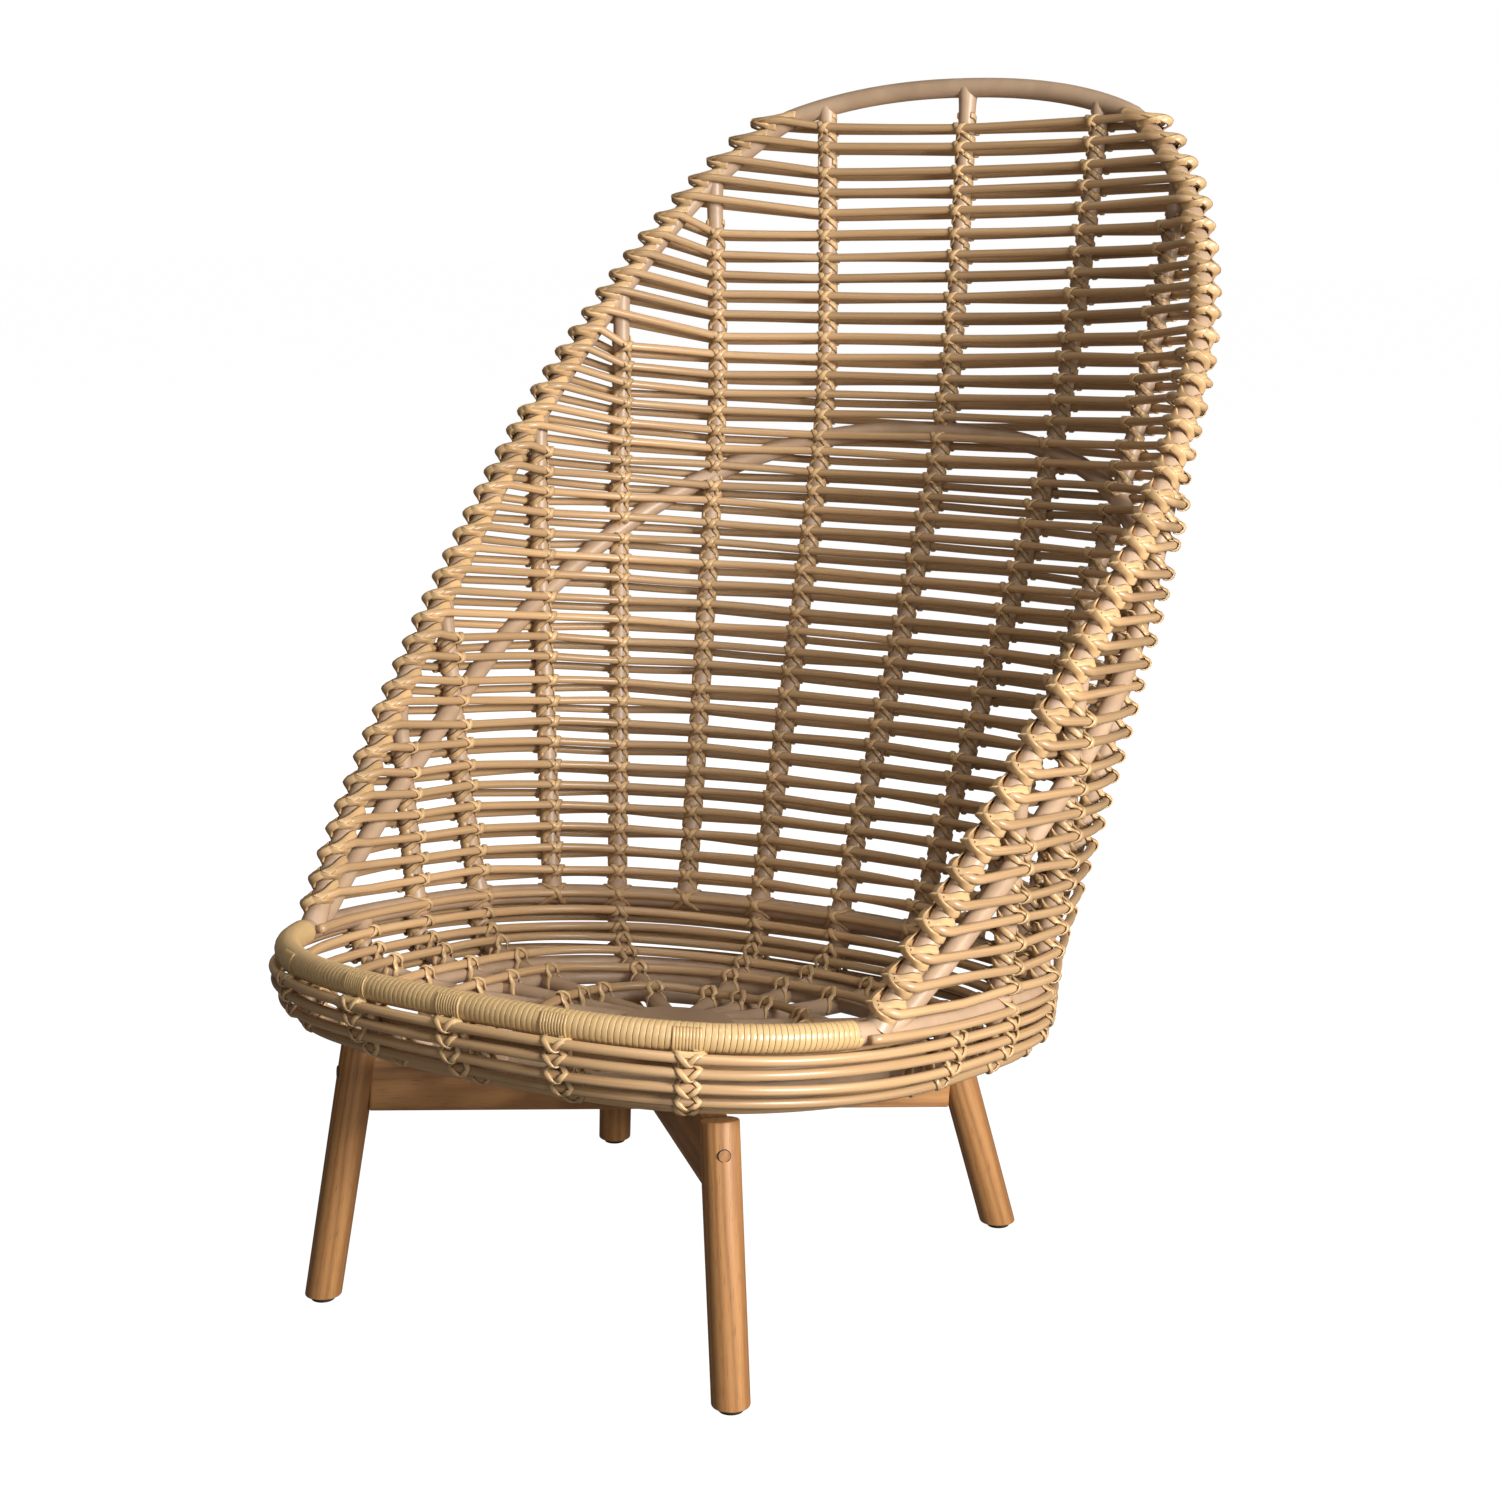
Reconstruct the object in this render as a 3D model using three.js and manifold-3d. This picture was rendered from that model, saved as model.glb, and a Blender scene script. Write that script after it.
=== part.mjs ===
// High-backed lounge chair: a woven cane shell on a tube frame, standing on a crossed wooden base.
// Millimetres, +Z up, front of the seat towards -Y, mirror plane at X = 0.
import * as THREE from 'three';
import { mergeVertices } from 'three/addons/utils/BufferGeometryUtils.js';
import Module from 'manifold-3d';

const wasm = await Module();
wasm.setup();

// Fits
const GAP = 0.3; // between touching pieces
const CANE_CLEARANCE = 0.9; // cane to the tube that it is lashed to
const OUTER_SLACK = 1; // outer canes lie this much looser
const TURN_CLEARANCE = 1.6; // cane to the rim that it turns round
const SELF_GAP = 0.4; // least gap allowed between the turns of one cane

// Seat plane and seat ring
const SEAT_HEIGHT = 325; // ring centreline above the floor, at Y = 0
const SEAT_SLOPE = 0.121; // fall towards the back, mm per mm
const SEAT_HALF_WIDTH = 352; // ring centreline
const SEAT_WIDEST_Y = 60; // where the ring is widest
const SEAT_BACK_DEPTH = 292; // widest line to the back of the ring
const SEAT_FRONT_DEPTH = 406; // widest line to the front of the ring
const BACK_ROUNDNESS = 2.2; // superellipse power behind the widest line
const FRONT_ROUNDNESS = 2.8; // superellipse power before the widest line

// Shell wall above the seat ring, in heights above the seat plane
const LOWER_LEAN = 0.441; // back rest below the knee, mm per mm
const UPPER_LEAN = 0.08; // back rest above the knee
const KNEE_HEIGHT = 579;
const KNEE_BEND_HEIGHT = 50; // over which the slopes blend
const SIDE_FLARE = 0.096; // widening of the wall below the flare's top
const FLARE_HEIGHT = 484;
const FLARE_BEND_HEIGHT = 40;
const WIDEST_LEAN = 0.39; // how the widest line moves back with height

// Rim hoop, the front edge of the shell
const RIM_TUBE = 22;
const RIM_FOOT_DEPTH = 160; // how far to the front the rim stands on the seat ring
const RIM_LEAN = 0.841; // rim in side view, mm back per mm up
const RIM_BOW_DEPTH = 40; // how far the rim bends back from that line
const RIM_BOW_HEIGHT = 910; // height over which it bends
const RIM_BOW_SKEW = 1.8; // moves the bend up the rim

// Other frame tubes
const SEAT_TUBE = 22;
const HOOP_TUBE = 18; // middle hoop
const RIB_TUBE = 19;
const HOOP_TOP_HEIGHT = 555; // middle hoop at the back, above the seat plane
const HOOP_FOOT_DEPTH = 143; // how far to the front its line meets the seat plane
const RING_JOINT_DEPTH = 184; // how far to the front the bound rail meets the back of the seat ring

// Ribs: fan ribs spread over the back, side ribs stand upright in the wings
const FAN_RIBS = 4; // on each side of the centre rib
const FAN_STEP = 14.5; // degrees of the section between fan ribs at the seat
const FAN_SPREAD_HEIGHT = 1445; // in which that step doubles
const FAN_WIDEST = 85; // degrees, the most that a fan rib spreads
const SIDE_RIB_Y = 140; // first side rib
const SIDE_RIB_PITCH = 100;
const SIDE_RIBS = 2; // on each side
const WALL_STATIONS = 2; // wall corners past the last side rib

// Canes of the back
const CANE = 9;
const ROWS = 38;
const ROW_PITCH = 23.65;
const FIRST_ROW_HEIGHT = 31; // lowest row above the seat plane
const WINDINGS = 7; // lengths of cane that make up the back
const RIM_CLEAR = 30; // ribs nearer the rim than this don't bend a row
const NEIGHBOUR_LENGTH = 36; // stretches of cane nearer than this along it aren't measured against each other

// Woven bowl under the seat ring
const BOWL_CENTRE_Y = 20;
const BOWL_DEPTH = 77; // spokes at the bottom below the seat plane
const BOWL_ROUNDNESS = 4; // superellipse power of its section
const HUB_RADIUS = 70; // disc that the spokes meet in
const HUB_THICKNESS = 20;
const FRONT_SPOKE_X = 110; // spokes that come from the front of the ring
const SPOKE_START = 0.35; // degrees down the section, inside the seat ring
const OUTER_FIRST_DROP = 16; // start of the outer cane, below the seat plane at the front
const OUTER_TURN_DROP = 11; // how much lower each of its turns lies
const OUTER_TURNS = 5;
const INNER_FIRST_TURN = 1; // start of the inner cane at the back, degrees down the bowl's section
const INNER_TURN_PITCH = 16;
const INNER_TURNS = 5;
const WIDE_GAP = 0.5; // radians between spokes above which a cane bends once more

// Cane binding of the front rail
const BINDING_WALL = 2.2;

// Wooden base
const BASE_DROP = 97; // rail tops below the seat plane
const RAIL_HEIGHT = 59;
const RAIL_WIDTH = 26;
const BLOCK_RADIUS = 95; // mounting block between rails and hub
const LEG_TOP_DIAMETER = 37;
const LEG_FOOT_DIAMETER = 36;
const LEG_EASE = 3; // eased edge of the leg's top
const LEG_RISE = 6; // leg top above the rail top
const FRONT_FOOT = { x: 240, y: -264 };
const FRONT_LEG_TOP = { x: 208, y: -232 };
const BACK_FOOT = { x: 248, y: 264 };
const BACK_LEG_TOP = { x: 210, y: 218 };
const GLIDE_DIAMETER = 25;
const GLIDE_HEIGHT = 3;
const GLIDE_TAPER = 1; // smaller radius at the floor
const PLUG_DIAMETER = 12.5;
const PLUG_DEPTH = 7;
const PLUG_RISE = 7; // plug and bolt above the middle of the rail's height
const BOLT_DIAMETER = 6;
const BOLT_HEAD_DIAMETER = 10;
const BOLT_HEAD_HEIGHT = 6;
const BOLT_LENGTH = 62; // under the head

// Facets
const HOOP_SIDES = 8;
const RIB_SIDES = 6;
const RIB_STEP = 96; // length of a facet along a rib
const RIB_TRIM = 1.5; // rib ends short of the middle hoop's centreline
const SPOKE_STEPS = 7; // facets of a spoke from the ring to the bowl's centre
const RIM_STEPS = 44;
const RING_FRONT_STEPS = 18;
const RING_BACK_STEPS = 24;
const END_FACET = 2; // short facets that set the end faces of the seat ring square
const HUB_STEPS = 20;
const LEG_SIDES = 16;
const PEG_SIDES = 10;
const BOLT_SIDES = 6;
const CANE_SIDES = 4;
const TURN_STEPS = 3; // facets of the cane's half turn round the rim

const Z_AXIS = new THREE.Vector3(0, 0, 1);
const MERGE_DISTANCE = 1e-4; // vertices nearer than this are one
const SOLVE_ROUNDS = 50;
const SEAT_TILT = -Math.atan(SEAT_SLOPE);
const BLOCK_THICKNESS = BASE_DROP - BOWL_DEPTH - 2 * GAP - HUB_THICKNESS / 2;

const materials = {
  frame: { color: 0xb79f84, roughness: 0.45, metalness: 0.2 },
  cane: { color: 0xb08a5e, roughness: 0.5, metalness: 0 },
  binding: { color: 0xcfa569, roughness: 0.4, metalness: 0 },
  wood: { color: 0xa8713d, roughness: 0.6, metalness: 0 },
  steel: { color: 0x9a9a98, roughness: 0.35, metalness: 1 },
  glide: { color: 0x1c1a18, roughness: 0.7, metalness: 0 },
};

const chair = new THREE.Group();

function addPiece(name, geometry, finish) {
  geometry.computeVertexNormals();
  const piece = new THREE.Mesh(geometry, new THREE.MeshStandardMaterial(materials[finish]));
  piece.name = name;
  chair.add(piece);
}

// Solids for cutting and joining
function toSolid(geometry) {
  const bare = geometry.clone();
  bare.deleteAttribute('normal');
  bare.deleteAttribute('uv');
  const merged = mergeVertices(bare, MERGE_DISTANCE);
  const mesh = new wasm.Mesh({
    numProp: 3,
    vertProperties: Float32Array.from(merged.attributes.position.array),
    triVerts: Uint32Array.from(merged.index.array),
  });
  return new wasm.Manifold(mesh);
}

function toGeometry(solid) {
  const mesh = solid.getMesh();
  const geometry = new THREE.BufferGeometry();
  geometry.setAttribute('position', new THREE.BufferAttribute(Float32Array.from(mesh.vertProperties), 3));
  geometry.setIndex(new THREE.BufferAttribute(Uint32Array.from(mesh.triVerts), 1));
  return geometry;
}

// The largest body that a cut leaves, without the slivers past the cut
function mainBody(solid) {
  const bodies = solid.decompose();
  bodies.sort((a, b) => b.volume() - a.volume());
  return bodies[0];
}

// Path through given points, with one facet of the tube from each point to the next
class PointPath extends THREE.Curve {
  constructor(points) {
    super();
    this.points = points;
  }

  getPoint(t) {
    const last = this.points.length - 1;
    const place = Math.min(1, Math.max(0, t)) * last;
    const index = Math.min(Math.floor(place), last - 1);
    return this.points[index].clone().lerp(this.points[index + 1], place - index);
  }

  getUtoTmapping(u) {
    return u;
  }
}

// Points of a function of 0 to 1
function sample(count, pointAt) {
  return Array.from({ length: count + 1 }, (_, i) => pointAt(i / count));
}

function circle(diameter, sides, hole = 0) {
  const shape = new THREE.Shape();
  const ring = (radius) => {
    const points = [];
    for (let i = 0; i < sides; i += 1) {
      const angle = ((i + 0.5) / sides) * Math.PI * 2;
      points.push(new THREE.Vector2(Math.cos(angle) * radius, Math.sin(angle) * radius));
    }
    return points;
  };
  shape.setFromPoints(ring(diameter / 2));
  if (hole > 0) {
    shape.holes.push(new THREE.Path(ring(hole / 2).reverse()));
  }
  return shape;
}

function tube(points, diameter, sides, hole = 0) {
  const extrudePath = new PointPath(points);
  return new THREE.ExtrudeGeometry(circle(diameter, sides, hole), { extrudePath, steps: points.length - 1 });
}

// A thicker copy of a tube, which leaves the fit gap when it is cut away
function tubeCutter(points, diameter, sides) {
  const grown = diameter + (2 * GAP) / Math.cos(Math.PI / sides);
  return toSolid(tube(points, grown, sides));
}

// Seat plane
function seatZ(y) {
  return SEAT_HEIGHT - SEAT_SLOPE * y;
}

function lift(x, y, height) {
  return new THREE.Vector3(x, y, seatZ(y) + height);
}

// A straight rise that turns smoothly into another slope
function bend(height, knee, softness, below, above) {
  const d = height - knee;
  const blend = softness * Math.log1p(Math.exp(-Math.abs(d) / softness)) + Math.max(-d, 0);
  return above * d - (below - above) * blend;
}

function wallSection(height) {
  const back = bend(height, KNEE_HEIGHT, KNEE_BEND_HEIGHT, LOWER_LEAN, UPPER_LEAN)
    - bend(0, KNEE_HEIGHT, KNEE_BEND_HEIGHT, LOWER_LEAN, UPPER_LEAN);
  const flare = bend(height, FLARE_HEIGHT, FLARE_BEND_HEIGHT, SIDE_FLARE, 0)
    - bend(0, FLARE_HEIGHT, FLARE_BEND_HEIGHT, SIDE_FLARE, 0);
  const widest = SEAT_WIDEST_Y + WIDEST_LEAN * height;
  return {
    half: SEAT_HALF_WIDTH + flare,
    widest,
    depth: SEAT_WIDEST_Y + SEAT_BACK_DEPTH + back - widest,
  };
}

// Half width of the wall at a given depth and height
function wallX(y, height) {
  const { half, widest, depth } = wallSection(height);
  const behind = y > widest;
  const power = behind ? BACK_ROUNDNESS : FRONT_ROUNDNESS;
  const share = Math.abs(y - widest) / (behind ? depth : SEAT_FRONT_DEPTH);
  return half * Math.max(0, 1 - share ** power) ** (1 / power);
}

// Rim hoop in side view
function rimY(height) {
  const share = Math.min(1, Math.max(0, height / RIM_BOW_HEIGHT));
  const bow = RIM_BOW_DEPTH * Math.sin(Math.PI * share ** RIM_BOW_SKEW);
  return RIM_LEAN * height + bow - RIM_FOOT_DEPTH;
}

function solve(low, high, sign) {
  let a = low;
  let b = high;
  for (let i = 0; i < SOLVE_ROUNDS; i += 1) {
    const middle = (a + b) / 2;
    if (sign(middle) > 0) {
      a = middle;
    } else {
      b = middle;
    }
  }
  return (a + b) / 2;
}

function backY(height) {
  const { widest, depth } = wallSection(height);
  return widest + depth;
}

const RIM_TOP_HEIGHT = solve(KNEE_HEIGHT, 2 * KNEE_HEIGHT, (h) => backY(h) - rimY(h));

function rimPoint(side, height) {
  const y = rimY(height);
  return lift(side * wallX(y, height), y, height);
}

// Wall stations: the ribs, numbered from the centre, and the wall's corners past them
const LAST_RIB = FAN_RIBS + SIDE_RIBS;
const LAST_STATION = LAST_RIB + WALL_STATIONS;

function stationPoint(index, height) {
  const side = Math.sign(index);
  const number = Math.abs(index);
  if (number > FAN_RIBS) {
    const y = SIDE_RIB_Y - (number - FAN_RIBS - 1) * SIDE_RIB_PITCH;
    return lift(side * wallX(y, height), y, height);
  }
  const { half, widest, depth } = wallSection(height);
  const spread = number * FAN_STEP * (1 + height / FAN_SPREAD_HEIGHT);
  const angle = THREE.MathUtils.degToRad(Math.min(FAN_WIDEST, spread));
  const x = side * half * Math.sin(angle) ** (2 / BACK_ROUNDNESS);
  const y = widest + depth * Math.cos(angle) ** (2 / BACK_ROUNDNESS);
  return lift(x, y, height);
}

// The wall is straight from station to station
function wallPoint(position, height) {
  const low = Math.floor(position);
  const a = stationPoint(low, height);
  return position === low ? a : a.lerp(stationPoint(low + 1, height), position - low);
}

// Middle hoop
function hoopHeight(y) {
  const slope = HOOP_TOP_HEIGHT / (backY(HOOP_TOP_HEIGHT) + HOOP_FOOT_DEPTH);
  return slope * (y + HOOP_FOOT_DEPTH);
}

function onHoop(position) {
  const height = solve(0, KNEE_HEIGHT, (h) => hoopHeight(wallPoint(position, h).y) - h);
  return { height, point: wallPoint(position, height) };
}

// Frame paths
const HOOP_END = solve(LAST_RIB, LAST_STATION, (p) => onHoop(p).height - HOOP_TUBE / 2);
const hoopStations = [HOOP_END];
for (let half = Math.ceil(2 * HOOP_END) - 1; half > -2 * HOOP_END; half -= 1) {
  hoopStations.push(half / 2);
}
const hoopPoints = [...hoopStations, -HOOP_END].map((position) => onHoop(position).point);
const rimPoints = sample(RIM_STEPS, (t) => {
  const share = 2 * t - 1;
  return rimPoint(Math.sign(share), RIM_TOP_HEIGHT * (1 - share * share));
});

// Seat ring by angle round the bowl's centre, 0 at the front, growing towards +X
function ringPoint(angle) {
  const dx = Math.sin(angle);
  const dy = -Math.cos(angle);
  const inside = (r) => {
    const y = BOWL_CENTRE_Y + r * dy - SEAT_WIDEST_Y;
    const behind = y > 0;
    const power = behind ? BACK_ROUNDNESS : FRONT_ROUNDNESS;
    const depth = behind ? SEAT_BACK_DEPTH : SEAT_FRONT_DEPTH;
    return 1 - (Math.abs(r * dx) / SEAT_HALF_WIDTH) ** power - (Math.abs(y) / depth) ** power;
  };
  const radius = solve(0, SEAT_FRONT_DEPTH + SEAT_BACK_DEPTH, inside);
  return lift(radius * dx, BOWL_CENTRE_Y + radius * dy, 0);
}

function angleOf(point) {
  return Math.atan2(point.x, BOWL_CENTRE_Y - point.y);
}

function ringAngleAtY(y) {
  return solve(0, Math.PI, (a) => y - ringPoint(a).y);
}

const JOINT_ANGLE = ringAngleAtY(-RING_JOINT_DEPTH);
const JOINT_TRIM = GAP / 2 / SEAT_HALF_WIDTH;
function ringArc(from, to, steps) {
  const points = sample(steps, (t) => ringPoint(from + (to - from) * t));
  const end = END_FACET / SEAT_HALF_WIDTH;
  points.splice(1, 0, ringPoint(from + end));
  points.splice(-1, 0, ringPoint(to - end));
  return points;
}
const frontRingPoints = ringArc(-JOINT_ANGLE + JOINT_TRIM, JOINT_ANGLE - JOINT_TRIM, RING_FRONT_STEPS);
const BACK_START = JOINT_ANGLE + JOINT_TRIM;
const backRingPoints = ringArc(BACK_START, 2 * Math.PI - BACK_START, RING_BACK_STEPS);
const BINDING_BORE = SEAT_TUBE + (2 * GAP) / Math.cos(Math.PI / HOOP_SIDES);
const BINDING_TUBE = BINDING_BORE + 2 * BINDING_WALL;

const cutters = {
  rim: tubeCutter(rimPoints, RIM_TUBE, HOOP_SIDES),
  hoop: tubeCutter(hoopPoints, HOOP_TUBE, RIB_SIDES),
  ringFront: tubeCutter(frontRingPoints, BINDING_TUBE, HOOP_SIDES),
  ringBack: tubeCutter(backRingPoints, SEAT_TUBE, HOOP_SIDES),
};

function coped(geometry, ...tools) {
  let solid = toSolid(geometry);
  for (const tool of tools) {
    solid = solid.subtract(tool);
  }
  return toGeometry(mainBody(solid));
}

function buildFrame() {
  const { rim, hoop, ringFront, ringBack } = cutters;
  addPiece('seat_ring_front', tube(frontRingPoints, SEAT_TUBE, HOOP_SIDES), 'frame');
  addPiece('front_binding', tube(frontRingPoints, BINDING_TUBE, HOOP_SIDES, BINDING_BORE), 'binding');
  addPiece('seat_ring_back', tube(backRingPoints, SEAT_TUBE, HOOP_SIDES), 'frame');
  addPiece('rim_hoop', coped(tube(rimPoints, RIM_TUBE, HOOP_SIDES), ringFront, ringBack), 'frame');
  const hoopTube = tube(hoopPoints, HOOP_TUBE, RIB_SIDES);
  addPiece('middle_hoop', coped(hoopTube, rim, ringFront, ringBack), 'frame');
  for (let index = -LAST_RIB; index <= LAST_RIB; index += 1) {
    const label = index === 0 ? '0' : `${index < 0 ? 'left' : 'right'}_${Math.abs(index)}`;
    const middle = onHoop(index).height;
    const top = solve(middle, RIM_TOP_HEIGHT, (h) => stationPoint(index, h).y - rimY(h));
    const ribTube = (from, to) => {
      const steps = Math.max(2, Math.ceil((to - from) / RIB_STEP));
      return tube(sample(steps, (t) => stationPoint(index, from + (to - from) * t)), RIB_TUBE, RIB_SIDES);
    };
    addPiece(`rib_lower_${label}`, coped(ribTube(0, middle - RIB_TRIM), hoop, ringFront, ringBack), 'frame');
    addPiece(`rib_upper_${label}`, coped(ribTube(middle + RIB_TRIM, top), hoop, rim), 'frame');
  }
}

// Round cane along a row of points, with four sides
function caneGeometry(points) {
  const positions = [];
  const indices = [];
  const sides = CANE_SIDES;
  points.forEach((point, i) => {
    const before = points[Math.max(0, i - 1)];
    const after = points[Math.min(points.length - 1, i + 1)];
    const along = after.clone().sub(before).normalize();
    const across = new THREE.Vector3().crossVectors(along, Z_AXIS).normalize();
    const up = new THREE.Vector3().crossVectors(across, along);
    for (const [a, u] of [[1, 0], [0, 1], [-1, 0], [0, -1]]) {
      const corner = point.clone().addScaledVector(across, (a * CANE) / 2);
      corner.addScaledVector(up, (u * CANE) / 2);
      positions.push(corner.x, corner.y, corner.z);
    }
  });
  for (let i = 0; i + 1 < points.length; i += 1) {
    for (let s = 0; s < sides; s += 1) {
      const a = i * sides + s;
      const b = i * sides + ((s + 1) % sides);
      indices.push(a, a + sides, b, b, a + sides, b + sides);
    }
  }
  const last = (points.length - 1) * sides;
  indices.push(0, 1, 2, 0, 2, 3);
  indices.push(last, last + 2, last + 1, last, last + 3, last + 2);
  const geometry = new THREE.BufferGeometry();
  geometry.setAttribute('position', new THREE.Float32BufferAttribute(positions, 3));
  geometry.setIndex(indices);
  return geometry;
}

// Least gap between stretches of one cane that aren't neighbours along it
function selfGap(points) {
  const samples = [];
  let travelled = 0;
  for (let i = 0; i + 1 < points.length; i += 1) {
    const length = points[i].distanceTo(points[i + 1]);
    const count = Math.ceil(length / CANE);
    for (let k = 0; k < count; k += 1) {
      const place = points[i].clone().lerp(points[i + 1], k / count);
      samples.push({ place, at: travelled + (length * k) / count });
    }
    travelled += length;
  }
  let least = Infinity;
  for (let i = 0; i < samples.length; i += 1) {
    for (let k = i + 1; k < samples.length; k += 1) {
      if (samples[k].at - samples[i].at > NEIGHBOUR_LENGTH) {
        least = Math.min(least, samples[i].place.distanceTo(samples[k].place));
      }
    }
  }
  return least - CANE;
}

function addWinding(name, points) {
  const gap = selfGap(points);
  console.log(`${name}: least gap to itself ${gap.toFixed(2)} mm, needs ${SELF_GAP}`);
  addPiece(name, caneGeometry(points), 'cane');
}

// Corners of one row of the wall, from the left rim to the right rim
function rowCorners(height) {
  const end = rimPoint(1, height);
  const corners = [];
  for (let index = 0; index <= LAST_STATION; index += 1) {
    const point = stationPoint(index, height);
    if (point.y < end.y || point.distanceTo(end) < RIM_CLEAR) {
      break;
    }
    corners.push(point);
  }
  corners.push(end);
  const left = corners.slice(1).reverse().map((p) => new THREE.Vector3(-p.x, p.y, p.z));
  return [...left, ...corners];
}

function flat(vector) {
  return new THREE.Vector3(vector.x, vector.y, 0).normalize();
}

// Outward direction of a stretch of the row, square to the wall, and its slope factor
function wallNormal(from, to, height) {
  const along = to.clone().sub(from).normalize();
  const middle = from.clone().add(to).multiplyScalar(0.5);
  const lean = (backY(height + CANE) - backY(height - CANE)) / (2 * CANE);
  const facing = flat(new THREE.Vector3(along.y, -along.x, 0)).negate();
  const share = Math.max(0, facing.y) * (middle.y > wallSection(height).widest ? 1 : 0);
  return { facing, slope: Math.hypot(1, (lean + SEAT_SLOPE * lean * lean) * share) };
}

// Row run on one face of the wall: layer +1 is the outer face, -1 the inner face
function rowRun(height, layer) {
  const corners = rowCorners(height);
  const offset = RIB_TUBE / 2 + CANE / 2 + CANE_CLEARANCE + (layer > 0 ? OUTER_SLACK : 0);
  const run = [];
  for (let i = 1; i + 1 < corners.length; i += 1) {
    const a = wallNormal(corners[i - 1], corners[i], height);
    const b = wallNormal(corners[i], corners[i + 1], height);
    const facing = a.facing.clone().add(b.facing).normalize();
    const reach = (offset * Math.max(a.slope, b.slope)) / facing.dot(a.facing);
    run.push(corners[i].clone().addScaledVector(facing, layer * reach));
  }
  return run;
}

const INNER_FACE = -90;
const OUTER_FACE = 90;

// Turn of the cane round the rim: angles from the inner face, over the front, to the outer face
function rimTurn(side, fromHeight, toHeight, fromAngle, toAngle) {
  const points = [];
  const parts = Math.ceil((TURN_STEPS * Math.abs(toAngle - fromAngle)) / (OUTER_FACE - INNER_FACE));
  const radius = (RIM_TUBE / 2 + CANE / 2 + TURN_CLEARANCE) / Math.cos(Math.PI / (2 * TURN_STEPS));
  for (let i = 0; i <= parts; i += 1) {
    const share = i / parts;
    const height = fromHeight + (toHeight - fromHeight) * share;
    const angle = THREE.MathUtils.degToRad(fromAngle + (toAngle - fromAngle) * share);
    const centre = rimPoint(side, height);
    const corners = rowCorners(height);
    const inward = corners[corners.length - 2];
    const ahead = flat(corners[corners.length - 1].clone().sub(inward));
    ahead.x *= side;
    const outward = new THREE.Vector3(-ahead.y * side, ahead.x * side, 0);
    const way = ahead.clone().multiplyScalar(Math.cos(angle)).addScaledVector(outward, Math.sin(angle));
    way.z = -SEAT_SLOPE * way.y;
    way.normalize();
    const along = rimPoint(side, height + 1).sub(rimPoint(side, height - 1)).normalize();
    const reach = radius / Math.sqrt(1 - way.dot(along) ** 2);
    points.push(centre.addScaledVector(way, reach));
  }
  return points;
}

function rowHeight(row) {
  return FIRST_ROW_HEIGHT + row * ROW_PITCH;
}

function buildBackWeave() {
  for (let winding = 0; winding < WINDINGS; winding += 1) {
    const first = Math.round((ROWS * winding) / WINDINGS);
    const last = Math.round((ROWS * (winding + 1)) / WINDINGS) - 1;
    const points = rimTurn(-1, rowHeight(first), rowHeight(first), 0, INNER_FACE);
    for (let row = first; row <= last; row += 1) {
      const height = rowHeight(row);
      points.push(...rowRun(height, -1));
      points.push(...rimTurn(1, height, height, INNER_FACE, OUTER_FACE));
      points.push(...rowRun(height, 1).reverse());
      if (row < last) {
        points.push(...rimTurn(-1, height, rowHeight(row + 1), OUTER_FACE, INNER_FACE));
      }
    }
    points.push(...rimTurn(-1, rowHeight(last), rowHeight(last), OUTER_FACE, 0));
    addWinding(`back_weave_${winding + 1}`, points);
  }
}

// Bowl section: 0 degrees at the seat ring, 90 at the bottom's centre
function bowlPoint(angle, down, layer = 0) {
  const at = (degrees) => {
    const a = THREE.MathUtils.degToRad(degrees);
    const share = Math.cos(a) ** (2 / BOWL_ROUNDNESS);
    const edge = ringPoint(angle);
    const height = -BOWL_DEPTH * Math.sin(a) ** (2 / BOWL_ROUNDNESS);
    return lift(edge.x * share, BOWL_CENTRE_Y + (edge.y - BOWL_CENTRE_Y) * share, height);
  };
  const point = at(down);
  if (layer === 0) {
    return point;
  }
  const along = at(down + 1).sub(at(down - 1)).normalize();
  const sideways = new THREE.Vector3(Math.cos(angle), Math.sin(angle), 0);
  const outward = new THREE.Vector3().crossVectors(along, sideways).normalize();
  if (outward.z > 0) {
    outward.negate();
  }
  const offset = RIB_TUBE / 2 + CANE / 2 + CANE_CLEARANCE + (layer > 0 ? 0 : GAP);
  return point.addScaledVector(outward, layer * offset);
}

// How far down the section the outer cane lies after a number of turns from the front
function outerTurn(turns) {
  const share = (OUTER_FIRST_DROP + OUTER_TURN_DROP * turns) / BOWL_DEPTH;
  return THREE.MathUtils.radToDeg(Math.asin(share ** (BOWL_ROUNDNESS / 2)));
}

// How far down it the inner cane lies after a number of turns from the back
function innerTurn(turns) {
  return INNER_FIRST_TURN + INNER_TURN_PITCH * turns;
}

function spokeAngles() {
  const ribs = [];
  for (let number = 0; number <= LAST_RIB + 1; number += 1) {
    if (number === 0) {
      ribs.push(Math.PI);
    } else if (number % 2 === 1 || number === LAST_RIB) {
      const angle = angleOf(stationPoint(number, 0));
      ribs.push(angle, -angle);
    }
  }
  const front = [-2, -1, 0, 1, 2].map((n) => {
    const wanted = n * FRONT_SPOKE_X;
    return solve(-Math.PI / 3, Math.PI / 3, (a) => wanted - ringPoint(a).x);
  });
  const full = Math.PI * 2;
  return [...ribs, ...front].map((a) => ((a % full) + full) % full).sort((a, b) => a - b);
}

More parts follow.
